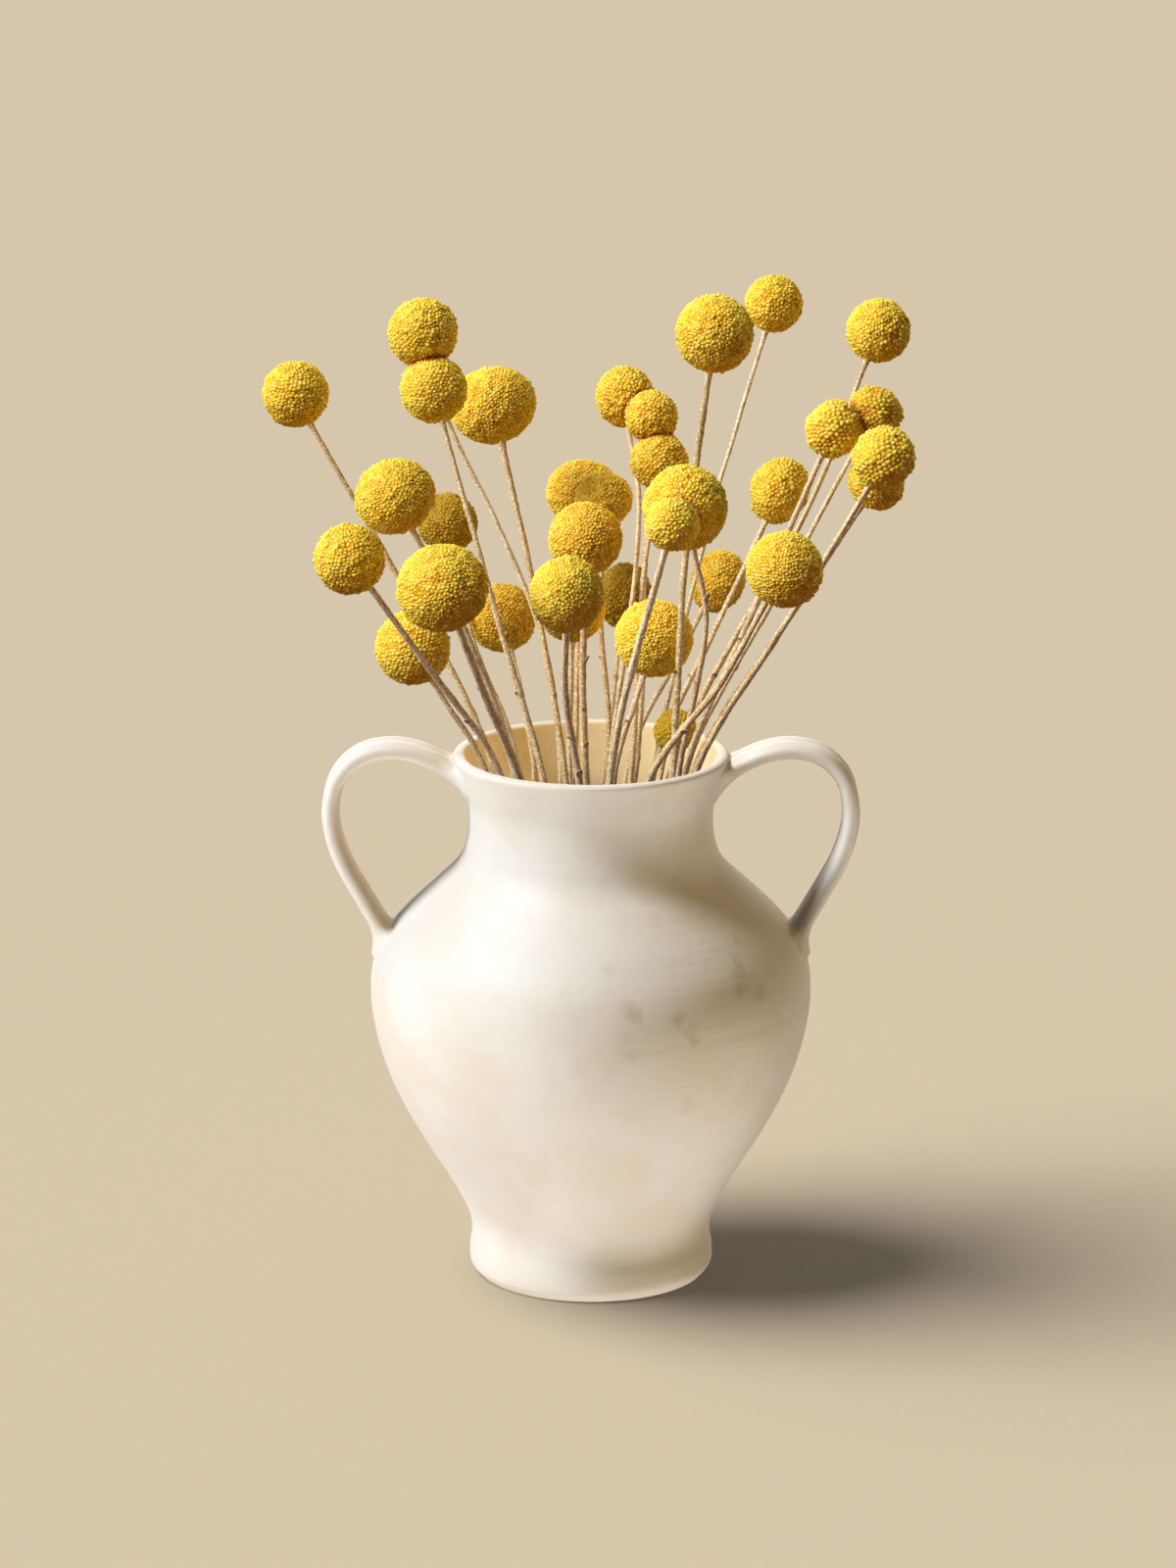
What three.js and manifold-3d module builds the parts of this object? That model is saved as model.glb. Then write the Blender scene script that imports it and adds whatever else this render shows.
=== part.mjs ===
// A bunch of dried billy buttons standing in a two-handled stoneware vase.
// Millimetres, +Z up. The origin is the middle of the vase's flat base, and the handles lie along X.

import * as THREE from 'three';
import { ConvexHull } from 'three/addons/math/ConvexHull.js';
import { mergeVertices } from 'three/addons/utils/BufferGeometryUtils.js';
import Module from 'manifold-3d';

const wasm = await Module();
wasm.setup();

// ---------------------------------------------------------------- driving dimensions

// The vase: [radius, height] up the outside, from the edge of the flat base to the lip. The lip rounds in by
// LIP_INSET on the outside and by LIP_DROP on the inside. The hollow follows the outside from HOLLOW_FROM to
// HOLLOW_TO, and narrows to FLOOR_RADIUS below.
const OUTSIDE = [
  [43.8, 0], [46.6, 3.5], [46.9, 9], [46.0, 17], [48.2, 26], [55.6, 40], [66, 57], [75.8, 76],
  [82, 95], [84.3, 114], [81, 129], [72.4, 141], [61, 152], [51, 162], [47.2, 172], [46.8, 184],
  [49.6, 195], [52.4, 203.6],
];
const OUTSIDE_STEPS = 22;
const RIM_HEIGHT = 205;
const WALL = 4.6;
const FLOOR_HEIGHT = 9;
const FLOOR_RADIUS = 36;
const LIP_DROP = 1.4;
const LIP_INSET = 0.84;
const HOLLOW_FROM = 18;
const HOLLOW_TO = 202.2;
const VASE_SEGMENTS = 40;

// The strap handles: [distance from the axis, height] along the middle of the strap. They widen by HANDLE_FLARE
// at both joints, the more suddenly the higher FLARE_POWER is. A flute runs along each face, and it is the
// narrower the higher FLUTE_POWER is.
const HANDLE_LINE = [
  [43, 191], [55, 199.8], [66, 205], [77, 206.5], [88, 203.5], [95.8, 195.5], [98.8, 184], [97.8, 173],
  [94, 162], [87.5, 150], [80, 137], [72, 124],
];
const HANDLE_WIDTH = 19;
const HANDLE_THICKNESS = 7.4;
const HANDLE_STEPS = 20;
const HANDLE_SIDES = 8;
const HANDLE_FLARE = 0.35;
const FLARE_POWER = 8;
const FLUTE_DEPTH = 0.5;
const FLUTE_POWER = 6;
const ACROSS_HANDLE = new THREE.Vector3(0, 1, 0);

// The stems stand in a fan. Below the mouth they turn round each other by TWIST, and their feet stand closer
// together by FOOT_SPREAD. A foot is lifted by FOOT_TILT of its thickness, because its cut end leans.
// COLLAR_START is how far along the stem its collar begins, and COLLAR_SHARE is its radius over the head's.
const MOUTH_HEIGHT = 200;
const NECK_HEIGHT = 150;
const GAP = 0.3;
const SEAT_GAP = 0.4;
const TWIST = THREE.MathUtils.degToRad(60);
const FOOT_SPREAD = 0.7;
const FOOT_TILT = 0.12;
const STEM_SIDES = 6;
const STEM_STEPS = 10;
const FOOT_WIDER = 1.1;
const STEM_TAPER = 0.2;
const COLLAR_START = 0.975;
const COLLAR_LENGTH = 6;
const COLLAR_SHARE = 0.16;
const UP = new THREE.Vector3(0, 0, 1);
const ACROSS_STEM = new THREE.Vector3(1, 0, 0);

// The heads: florets on a ball, each a small hump. The grooves between them lie at GROOVE of the radius.
const FLORETS = 48;
const GROOVE = 0.87;
const GOLDEN_ANGLE = Math.PI * (3 - Math.sqrt(5));

// Each flower: head is the middle of the head, across its width, and tall its height over its width. mouth is
// the place of the stem in the mouth of the vase. The stem bows aside by bow at the share up of its height, or
// passes the points of via. thick is its thickness.
const FLOWERS = [
  { head: [-112, 20, 339], across: 25, mouth: [-38, 9], bow: [2, 0], thick: 2.7 },
  { head: [-63, 16, 363], across: 26, mouth: [-12, 24], via: [[-21, 24, 252], [-54, 33, 326]], thick: 2.3 },
  { head: [-59, 8, 343], across: 25, mouth: [-18, -22], bow: [0, -3], thick: 2.9 },
  { head: [-37, 29, 333], across: 32, tall: 0.9, mouth: [-10, -11], bow: [2, 0], thick: 2.9 },
  { head: [-73, -15, 307], across: 30, tall: 0.9, mouth: [-30, 3], bow: [4, 3], thick: 3 },
  { head: [-55, 45, 284], across: 23, mouth: [-29, 15], bow: [-3, -7], thick: 2.7 },
  { head: [-89, -45, 290], across: 26, mouth: [-34, -16], bow: [1, 0], thick: 3.2 },
  { head: [-54, -80, 287], across: 33, tall: 0.93, mouth: [-26, -30], bow: [0, 0], thick: 4 },
  { head: [-67, -10, 248], across: 28, mouth: [-40, -6], bow: [0, 0], thick: 2.8 },
  { head: [-34, 35, 249], across: 26, mouth: [-22, 9], bow: [1, 0], thick: 2.9 },
  { head: [-3, 66, 291], across: 28, tall: 0.9, mouth: [-6, 36], bow: [0, 0], thick: 2.9 },
  { head: [5, 46, 293], across: 22, tall: 0.94, mouth: [7, 25], bow: [-2, 0], thick: 2.7 },
  { head: [-2, -20, 292], across: 27, mouth: [-2, -20], bow: [-1, 0], thick: 3.4 },
  { head: [-9, -68, 282], across: 27, tall: 1.06, mouth: [-4, -37], bow: [-3, 0], thick: 3.7 },
  { head: [-7, 15, 257], across: 25, mouth: [-8, 5], bow: [0, 0], thick: 3 },
  { head: [13, 72, 249], across: 21, tall: 1.25, mouth: [7, 38], bow: [0, 0], thick: 2.5 },
  { head: [13, 54, 331], across: 22, tall: 1.07, mouth: [8, 15], bow: [7, -4], up: 0.69, thick: 2.6 },
  { head: [23, 41, 326], across: 20, mouth: [18, 25], bow: [0, 21], up: 0.72, thick: 2.5 },
  { head: [26, 35, 310], across: 22, mouth: [16, 13], bow: [-2, 5], thick: 2.6 },
  { head: [35, -25, 305], across: 31, mouth: [33, -19], bow: [9, 2], up: 0.6, thick: 2.8 },
  { head: [30, -45, 303], across: 20, mouth: [7, -32], bow: [-2, 0], thick: 3.4 },
  { head: [24, 5, 248], across: 29, mouth: [9, -9], bow: [0, 0], thick: 3 },
  { head: [49, 62, 257], across: 21, tall: 1.18, mouth: [17, 34], bow: [0, 0], thick: 2.6 },
  { head: [32, 5, 212], across: 16, tall: 1.1, mouth: [28, 8], via: [], thick: 2.4 },
  { head: [46, 0, 367], across: 29, mouth: [31, -10], bow: [-3, 0], thick: 3.4 },
  { head: [70, 66, 365], across: 22, mouth: [26, 30], bow: [-3, 0], thick: 2.2 },
  { head: [109, 42, 359], across: 24, mouth: [33, 21], bow: [5, -5], up: 0.6, thick: 2.6 },
  { head: [107, 16, 333], across: 21, tall: 0.9, mouth: [38, 12], bow: [0, 0], thick: 2.6 },
  { head: [91, 8, 328], across: 21, tall: 1.07, mouth: [36, -3], bow: [0, 0], thick: 2.8 },
  { head: [110, -12, 321], across: 23, tall: 1.06, mouth: [40, -9], bow: [0, 0], thick: 3 },
  { head: [107, 4, 308], across: 22, tall: 0.87, mouth: [40, 3], bow: [0, 0], thick: 2.6 },
  { head: [72, 38, 298], across: 22, tall: 1.17, mouth: [26, 17], bow: [0, 0], thick: 2.6 },
  { head: [71, -58, 289], across: 28, mouth: [21, -34], bow: [3, 0], thick: 3.2 },
];

// Heads that press into each other in the bunch, by their place in the list above, counted from 1.
const PRESSED_HEADS = [[2, 3], [11, 12], [17, 18, 19], [20, 21], [28, 29], [30, 31]];

// ---------------------------------------------------------------- finishes

const stoneware = new THREE.MeshStandardMaterial({ color: '#ece5d9', roughness: 0.38, metalness: 0 });
const floret = new THREE.MeshStandardMaterial({ color: '#e3b81f', roughness: 0.85, metalness: 0 });
const straw = new THREE.MeshStandardMaterial({ color: '#b9a27a', roughness: 0.8, metalness: 0 });

// ---------------------------------------------------------------- solids

const WELD = 1e-4;
const TINY = 1e-6;

// A closed three.js geometry as a solid that can be joined and cut.
function toSolid(geometry) {
  const bare = geometry.clone();
  bare.deleteAttribute('normal');
  bare.deleteAttribute('uv');
  const merged = mergeVertices(bare, WELD);
  const vertProperties = new Float32Array(merged.attributes.position.array);
  const triVerts = new Uint32Array(merged.index.array);
  return new wasm.Manifold(new wasm.Mesh({ numProp: 3, vertProperties, triVerts }));
}

function toGeometry(solid) {
  const mesh = solid.getMesh();
  const geometry = new THREE.BufferGeometry();
  geometry.setAttribute('position', new THREE.BufferAttribute(mesh.vertProperties, 3));
  geometry.setIndex(new THREE.BufferAttribute(mesh.triVerts, 1));
  return geometry;
}

function closedGeometry(points, faces) {
  const geometry = new THREE.BufferGeometry().setFromPoints(points);
  geometry.setIndex(faces);
  return geometry;
}

// A rod along a curve, with a ring of points at each stop. reference is the direction of the first half width,
// and size(t, angle) gives the half width and the half thickness at a stop, with t from 0 to 1 along the curve.
function rod(curve, stops, sides, reference, size) {
  const points = [];
  const faces = [];
  for (const t of stops) {
    const middle = curve.getPointAt(t);
    const along = curve.getTangentAt(t);
    const across = reference.clone().projectOnPlane(along).normalize();
    const through = along.clone().cross(across);
    for (let j = 0; j < sides; j += 1) {
      const angle = (2 * Math.PI * j) / sides;
      const [width, thickness] = size(t, angle);
      points.push(middle.clone()
        .addScaledVector(across, width * Math.cos(angle))
        .addScaledVector(through, thickness * Math.sin(angle)));
    }
  }
  const last = (stops.length - 1) * sides;
  for (let ring = 0; ring < last; ring += sides) {
    for (let j = 0; j < sides; j += 1) {
      const a = ring + j;
      const b = ring + ((j + 1) % sides);
      faces.push(a, b, a + sides, b, b + sides, a + sides);
    }
  }
  for (let j = 1; j < sides - 1; j += 1) {
    faces.push(0, j + 1, j);
    faces.push(last, last + j, last + j + 1);
  }
  return closedGeometry(points, faces);
}

function evenStops(steps) {
  return Array.from({ length: steps + 1 }, (_, i) => i / steps);
}

// ---------------------------------------------------------------- the vase

// The outline of the outside, smooth from the base to the lip, as [radius, height] points.
function outsideCurve() {
  return new THREE.SplineCurve(OUTSIDE.map(([r, z]) => new THREE.Vector2(r, z)));
}

function vaseOutside() {
  const outline = [new THREE.Vector2(0, 0), ...outsideCurve().getSpacedPoints(OUTSIDE_STEPS)];
  const lip = outline[outline.length - 1];
  outline.push(new THREE.Vector2(lip.x - LIP_INSET, RIM_HEIGHT));
  outline.push(new THREE.Vector2(0, RIM_HEIGHT));
  return lathe(outline);
}

// The hollow follows the outside at the wall thickness, over a flat floor, and opens at the rim.
function vaseHollow() {
  const outline = [new THREE.Vector2(0, FLOOR_HEIGHT), new THREE.Vector2(FLOOR_RADIUS, FLOOR_HEIGHT)];
  for (const point of outsideCurve().getSpacedPoints(OUTSIDE_STEPS / 2)) {
    if (point.y > HOLLOW_FROM && point.y < HOLLOW_TO) {
      outline.push(new THREE.Vector2(point.x - WALL, point.y));
    }
  }
  const mouth = OUTSIDE[OUTSIDE.length - 1][0] - WALL;
  outline.push(new THREE.Vector2(mouth, RIM_HEIGHT - LIP_DROP));
  outline.push(new THREE.Vector2(mouth + LIP_DROP, RIM_HEIGHT));
  outline.push(new THREE.Vector2(mouth + LIP_DROP, RIM_HEIGHT + WALL));
  outline.push(new THREE.Vector2(0, RIM_HEIGHT + WALL));
  return lathe(outline);
}

// A turned solid about the Z axis.
function lathe(outline) {
  return new THREE.LatheGeometry(outline, VASE_SEGMENTS).rotateX(Math.PI / 2);
}

// One strap handle, with an oval section.
function handle(side) {
  const line = HANDLE_LINE.map(([x, z]) => new THREE.Vector3(side * x, 0, z));
  const curve = new THREE.CatmullRomCurve3(line, false, 'centripetal');
  return rod(curve, evenStops(HANDLE_STEPS), HANDLE_SIDES, ACROSS_HANDLE, (t, angle) => {
    const flare = 1 + HANDLE_FLARE * Math.abs(2 * t - 1) ** FLARE_POWER;
    const flute = FLUTE_DEPTH * Math.abs(Math.sin(angle)) ** FLUTE_POWER;
    return [0.5 * HANDLE_WIDTH * flare, (0.5 * HANDLE_THICKNESS - flute) * flare];
  });
}

function vaseGeometry() {
  const clay = toSolid(vaseOutside())
    .add(toSolid(handle(1)))
    .add(toSolid(handle(-1)))
    .subtract(toSolid(vaseHollow()));
  return toGeometry(clay);
}

// ---------------------------------------------------------------- the flowers

// A ball of florets of radius 1. The stem meets it at its lowest point, where one floret is left flat.
function floretBall() {
  const sites = [];
  for (let i = 0; i < FLORETS - 1; i += 1) {
    const up = 1 - (2 * i + 1) / (FLORETS + 1);
    const out = Math.sqrt(1 - up * up);
    const angle = i * GOLDEN_ANGLE;
    sites.push(new THREE.Vector3(out * Math.cos(angle), out * Math.sin(angle), up));
  }
  sites.push(new THREE.Vector3(0, 0, -1));
  const hull = new ConvexHull().setFromPoints(sites);
  const around = new Map(sites.map((site) => [site, []]));
  const points = [];
  for (const face of hull.faces) {
    const corners = [face.edge.tail().point, face.edge.head().point, face.edge.next.head().point];
    const middle = corners.reduce((sum, corner) => sum.add(corner), new THREE.Vector3()).normalize();
    corners.forEach((corner) => around.get(corner).push(points.length));
    points.push(middle.multiplyScalar(GROOVE));
  }
  const faces = [];
  let flat = 0;
  sites.forEach((site, i) => {
    const ring = sortAround(site, around.get(site), points);
    const peak = points.length;
    if (i === FLORETS - 1) {
      flat = -Math.min(...ring.map((corner) => points[corner].z));
      ring.forEach((corner) => points[corner].setZ(-flat));
    }
    points.push(i === FLORETS - 1 ? new THREE.Vector3(0, 0, -flat) : site.clone());
    ring.forEach((corner, k) => faces.push(peak, corner, ring[(k + 1) % ring.length]));
  });
  return { points, faces, flat };
}

// The corners round a floret in order, turning to the left seen from outside.
function sortAround(site, corners, points) {
  const east = new THREE.Vector3(0, 0, 1).cross(site);
  if (east.lengthSq() < TINY) east.set(1, 0, 0);
  east.normalize();
  const north = site.clone().cross(east);
  const angleOf = (corner) => Math.atan2(points[corner].dot(north), points[corner].dot(east));
  return [...corners].sort((a, b) => angleOf(a) - angleOf(b));
}

const BALL = floretBall();

// The middle of a head, the way it faces, and the points that its stem passes, from the row of the list.
function flowerShape({ head, across, tall = 1, mouth, bow = [0, 0], up = 0.5, via, thick }) {
  const middle = new THREE.Vector3(...head);
  const inMouth = new THREE.Vector3(mouth[0], mouth[1], MOUTH_HEIGHT);
  const bowed = inMouth.clone().lerp(middle, up).add(new THREE.Vector3(bow[0], bow[1], 0));
  const bends = via ? via.map((point) => new THREE.Vector3(...point)) : [bowed];
  const axis = middle.clone().sub([inMouth, ...bends].at(-1)).normalize();
  const halfWidth = 0.5 * across;
  const halfHeight = halfWidth * tall;
  const top = middle.clone().addScaledVector(axis, -(BALL.flat * halfHeight + SEAT_GAP));
  const collar = top.clone().addScaledVector(axis, -COLLAR_LENGTH);
  const foot = inMouth.clone().applyAxisAngle(UP, TWIST).multiplyScalar(FOOT_SPREAD);
  foot.setZ(FLOOR_HEIGHT + GAP + FOOT_TILT * thick);
  const inNeck = inMouth.clone().lerp(foot, (MOUTH_HEIGHT - NECK_HEIGHT) / (MOUTH_HEIGHT - FLOOR_HEIGHT));
  const below = [foot, inNeck, inMouth, ...bends].filter((point) => point.z < collar.z - COLLAR_LENGTH);
  return { middle, axis, halfWidth, halfHeight, line: [...below, collar, top], thick };
}

// A head in its place, turned about its stem so that no two heads show the same side.
function headMesh({ middle, axis, halfWidth, halfHeight }, turn, name) {
  const geometry = closedGeometry(BALL.points, BALL.faces);
  geometry.scale(halfWidth, halfWidth, halfHeight).rotateZ(turn);
  const mesh = namedMesh(geometry, floret, name);
  mesh.position.copy(middle);
  mesh.quaternion.setFromUnitVectors(UP, axis);
  mesh.updateMatrix();
  return mesh;
}

// Heads that press into each other, as one body.
function pressedHeads(meshes, name) {
  const solids = meshes.map((mesh) => toSolid(mesh.geometry.clone().applyMatrix4(mesh.matrix)));
  return namedMesh(toGeometry(solids.reduce((sum, solid) => sum.add(solid))), floret, name);
}

// A stem, a little thicker towards its foot, spreading at the top into the collar that carries the head.
function stemMesh({ line, thick, halfWidth }, name) {
  const curve = new THREE.CatmullRomCurve3(line, false, 'centripetal');
  const stops = [...evenStops(STEM_STEPS).map((t) => t * COLLAR_START), 1];
  const geometry = rod(curve, stops, STEM_SIDES, ACROSS_STEM, (t) => {
    const radius = t === 1 ? COLLAR_SHARE * halfWidth : 0.5 * thick * (FOOT_WIDER - STEM_TAPER * t);
    return [radius, radius];
  });
  return namedMesh(geometry, straw, name);
}

function namedMesh(geometry, material, name) {
  const mesh = new THREE.Mesh(geometry, material);
  mesh.name = name;
  return mesh;
}

function numbered(name, numbers) {
  return [name, ...numbers.map((number) => String(number).padStart(2, '0'))].join('_');
}

// ---------------------------------------------------------------- the whole object

const group = new THREE.Group();
group.add(namedMesh(vaseGeometry(), stoneware, 'vase'));

const stems = new THREE.Group();
const heads = new THREE.Group();
group.add(stems, heads);

const shapes = FLOWERS.map(flowerShape);
shapes.forEach((shape, i) => stems.add(stemMesh(shape, numbered('stem', [i + 1]))));

const balls = shapes.map((shape, i) => headMesh(shape, i * GOLDEN_ANGLE, numbered('flower_head', [i + 1])));
const isPressed = (i) => PRESSED_HEADS.some((numbers) => numbers.includes(i + 1));
heads.add(...balls.filter((ball, i) => !isPressed(i)));
for (const numbers of PRESSED_HEADS) {
  heads.add(pressedHeads(numbers.map((number) => balls[number - 1]), numbered('flower_heads', numbers)));
}

export default group;
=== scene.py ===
# %% [markdown]
# # Dried billy buttons in a two-handled stoneware vase
#
# The real object is a thrown and glazed vase with two pulled strap handles. Thirty-three dried
# flowers stand in it: each is a ball of hundreds of tiny florets on a bare, ribbed, slightly
# woolly stem.
#
# The cells go in the order of the work: the solid model that everything is built on, the camera,
# then clay, stems and flower heads, each with its finish, and last the floor and the light.

# %% The solid model
import math

import bmesh
import bpy
import numpy as np
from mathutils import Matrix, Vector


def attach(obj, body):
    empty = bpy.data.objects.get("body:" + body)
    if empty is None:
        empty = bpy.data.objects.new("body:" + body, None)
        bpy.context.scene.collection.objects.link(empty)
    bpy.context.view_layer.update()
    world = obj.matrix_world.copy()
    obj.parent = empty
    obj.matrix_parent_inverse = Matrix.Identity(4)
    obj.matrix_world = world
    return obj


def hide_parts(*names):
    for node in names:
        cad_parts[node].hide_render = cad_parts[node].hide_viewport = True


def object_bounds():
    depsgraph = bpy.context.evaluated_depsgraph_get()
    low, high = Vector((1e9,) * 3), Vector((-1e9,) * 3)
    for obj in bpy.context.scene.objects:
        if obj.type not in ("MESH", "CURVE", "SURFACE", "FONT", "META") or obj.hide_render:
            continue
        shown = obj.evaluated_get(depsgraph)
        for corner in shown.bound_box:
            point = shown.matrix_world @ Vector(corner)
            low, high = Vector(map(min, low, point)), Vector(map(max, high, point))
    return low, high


MM = 0.001
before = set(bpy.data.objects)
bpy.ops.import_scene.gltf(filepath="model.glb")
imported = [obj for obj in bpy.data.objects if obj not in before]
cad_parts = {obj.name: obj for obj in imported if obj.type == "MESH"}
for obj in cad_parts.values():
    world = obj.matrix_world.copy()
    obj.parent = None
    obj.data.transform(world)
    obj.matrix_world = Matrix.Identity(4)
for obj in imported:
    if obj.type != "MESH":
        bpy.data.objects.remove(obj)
cad_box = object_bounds()
print(len(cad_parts), "solids, box", [round(x / MM, 1) for corner in cad_box for x in corner])

# %% [markdown]
# ## The camera
# A product picture of a vase is taken from a little above the rim, so that the mouth shows as a
# thin ellipse. A wide lens close by would make the flowers at the front too large. A long lens
# from over two metres away keeps the balls round and the vase upright, so the camera here has a
# 144 mm lens.

# %% Camera
CAMERA_PLACE = (-1.1, -2300, 800)
CAMERA_TILT = math.radians(14.8)
LENS = 143.9
LONG_SIDE = 36
OBJECT_MIDDLE = (0, 0, 190)

camera_data = bpy.data.cameras.new("camera")
camera_data.lens = LENS
camera_data.sensor_width = LONG_SIDE
camera_data.clip_start = 0.1
camera_data.clip_end = 60
camera = bpy.data.objects.new("camera", camera_data)
camera.location = np.array(CAMERA_PLACE) * MM
camera.rotation_euler = (math.pi / 2 - CAMERA_TILT, 0, 0)
bpy.context.scene.collection.objects.link(camera)
bpy.context.scene.camera = camera
print("camera", round(math.dist(CAMERA_PLACE, OBJECT_MIDDLE)), "mm from the object's middle")

# %% [markdown]
# ## Tools for finishes
# Blender builds a finish as a tree of nodes. A few helpers are enough for every finish here: one
# turns the sRGB colours that people pick into the linear values that light adds up in, one adds a
# node with its settings and links, one starts a finish with its grains, one lays coats of colour
# over each other, as a painter would, and one joins colour and relief to the surface. The pattern
# coordinates are in millimetres, so the scale of each pattern is one over its real size.

# %% Tools for finishes
# The Mix node's sockets for colours: the share, the colour below, the colour above, the result.
SHARE, UNDER, OVER, MIXED = 0, 6, 7, 2


def linear(hex_colour):
    """An sRGB hex value as linear red, green, blue and alpha."""
    channels = [int(hex_colour[i:i + 2], 16) / 255 for i in (1, 3, 5)]
    return tuple(c / 12.92 if c <= 0.04045 else ((c + 0.055) / 1.055) ** 2.4
                 for c in channels) + (1.0,)


def add(tree, kind, inputs=None, **settings):
    """Adds a node. Each input is a value, or the output of another node to link from."""
    made = tree.nodes.new("ShaderNode" + kind)
    for name, value in settings.items():
        setattr(made, name, value)
    for name, value in (inputs or {}).items():
        if isinstance(value, bpy.types.NodeSocket):
            tree.links.new(value, made.inputs[name])
        else:
            made.inputs[name].default_value = value
    return made


def new_finish(name, *grains):
    """A finish without a surface: the material, its tree, the place on the object in millimetres,
    and a noise for each grain, which is (size in millimetres, detail, roughness)."""
    finish = bpy.data.materials.new(name)
    finish.use_nodes = True
    tree = finish.node_tree
    tree.nodes.clear()
    metres = add(tree, "TexCoord").outputs["Object"]
    place = add(tree, "VectorMath", {0: metres, "Scale": 1 / MM}, operation="SCALE").outputs[0]
    noises = [add(tree, "TexNoise", {"Vector": place, "Scale": 1 / size, "Detail": detail,
                                     "Roughness": mix}).outputs["Fac"]
              for size, detail, mix in grains]
    return finish, tree, place, *noises


def with_coats(tree, colour, *coats):
    """Lays coats over a colour. A coat is (value, from, to, strength, colour): it starts to show
    where the value is from, and shows at its full strength where the value is to."""
    for value, start, full, strength, coat in coats:
        share = add(tree, "MapRange", {"Value": value, "From Min": start, "From Max": full,
                                       "To Max": strength}, interpolation_type="SMOOTHSTEP")
        coat = linear(coat) if isinstance(coat, str) else coat
        colour = add(tree, "Mix", {SHARE: share.outputs[0], UNDER: colour, OVER: coat},
                     data_type="RGBA").outputs[MIXED]
    return colour


def close_finish(tree, colour, relief, surface):
    """Joins colour and relief to the surface. relief has rows of (height, strength, depth in
    millimetres), and surface has the other settings of the surface."""
    below = {}
    for height, strength, depth in relief:
        bump = add(tree, "Bump", {"Height": height, "Strength": strength, "Distance": depth * MM,
                                  **below})
        below = {"Normal": bump.outputs[0]}
    skin = add(tree, "BsdfPrincipled", {"Base Color": colour, **below, **surface})
    add(tree, "OutputMaterial", {"Surface": skin.outputs[0]})


print("a middle grey of #808080 is", round(linear("#808080")[0], 3), "of white in light")

# %% [markdown]
# ## Tools for meshes
# Every piece is computed as points in millimetres and faces, and a piece can carry a number for
# each point, such as how deep the point lies between the florets. The finish reads those numbers,
# so shape and colour agree.

# %% A mesh from points and faces
def unit(vectors):
    """Vectors of length 1."""
    vectors = np.asarray(vectors, float)
    return vectors / np.maximum(np.linalg.norm(vectors, axis=-1, keepdims=True), 1e-12)


def make_piece(name, points, faces, finishes, numbers=None, face_finish=None):
    """A smooth mesh. faces is a list of arrays, each with one row of corner numbers per face."""
    mesh = bpy.data.meshes.new(name)
    corners = np.concatenate([f.ravel() for f in faces]).astype(np.int32)
    sizes = np.concatenate([np.full(len(f), f.shape[1]) for f in faces]).astype(np.int32)
    mesh.vertices.add(len(points))
    mesh.vertices.foreach_set("co", (np.asarray(points) * MM).astype(np.float32).ravel())
    mesh.loops.add(len(corners))
    mesh.loops.foreach_set("vertex_index", corners)
    mesh.polygons.add(len(sizes))
    mesh.polygons.foreach_set("loop_start", (np.cumsum(sizes) - sizes).astype(np.int32))
    for finish in finishes:
        mesh.materials.append(finish)
    if face_finish is not None:
        mesh.polygons.foreach_set("material_index", np.asarray(face_finish, np.int32))
    mesh.update(calc_edges=True)
    mesh.polygons.foreach_set("use_smooth", np.ones(len(sizes), bool))
    for key, values in (numbers or {}).items():
        layer = mesh.attributes.new(key, "FLOAT", "POINT")
        layer.data.foreach_set("value", np.asarray(values, np.float32))
    piece = bpy.data.objects.new(name, mesh)
    bpy.context.scene.collection.objects.link(piece)
    return piece


print("a way of 3, 4 and 0 mm becomes", unit((3, 4, 0)))


# %% Tubes, and parts as one
def stack(parts):
    """Several (points, faces, numbers) as one, where faces is one array of triangles."""
    starts = np.cumsum([0] + [len(points) for points, _, _ in parts])
    points = np.concatenate([points for points, _, _ in parts])
    faces = np.concatenate([faces + start for (_, faces, _), start in zip(parts, starts)])
    numbers = {key: np.concatenate([part[2][key] for part in parts]) for key in parts[0][2]}
    return points, faces, numbers


def rings_to_faces(rings, sides):
    """Triangles between closed rings of points, with a fan over the middle point of each end."""
    ring = np.arange(rings - 1)[:, None] * sides
    side = np.arange(sides)[None, :]
    a, b = (ring + side).ravel(), (ring + (side + 1) % sides).ravel()
    walls = np.concatenate([np.stack([a, b, a + sides], 1), np.stack([b, b + sides, a + sides], 1)])
    last, around = (rings - 1) * sides, np.arange(sides)
    start_middle, end_middle = rings * sides, rings * sides + 1
    start = np.stack([np.full(sides, start_middle), (around + 1) % sides, around], 1)
    end = np.stack([np.full(sides, end_middle), last + around, last + (around + 1) % sides], 1)
    return np.concatenate([walls, start, end])


def outward(points, faces):
    """The faces, turned so that the body's volume is positive."""
    a, b, c = (points[faces[:, i]] for i in range(3))
    return faces if np.sum(a * np.cross(b, c)) > 0 else faces[:, ::-1]


print("a tube of 3 rings with 4 sides has", len(rings_to_faces(3, 4)), "triangles")

# %% Smooth lines
UNIFORM, CENTRIPETAL = 0, 0.25
STEPS_PER_SPAN = 60


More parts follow.
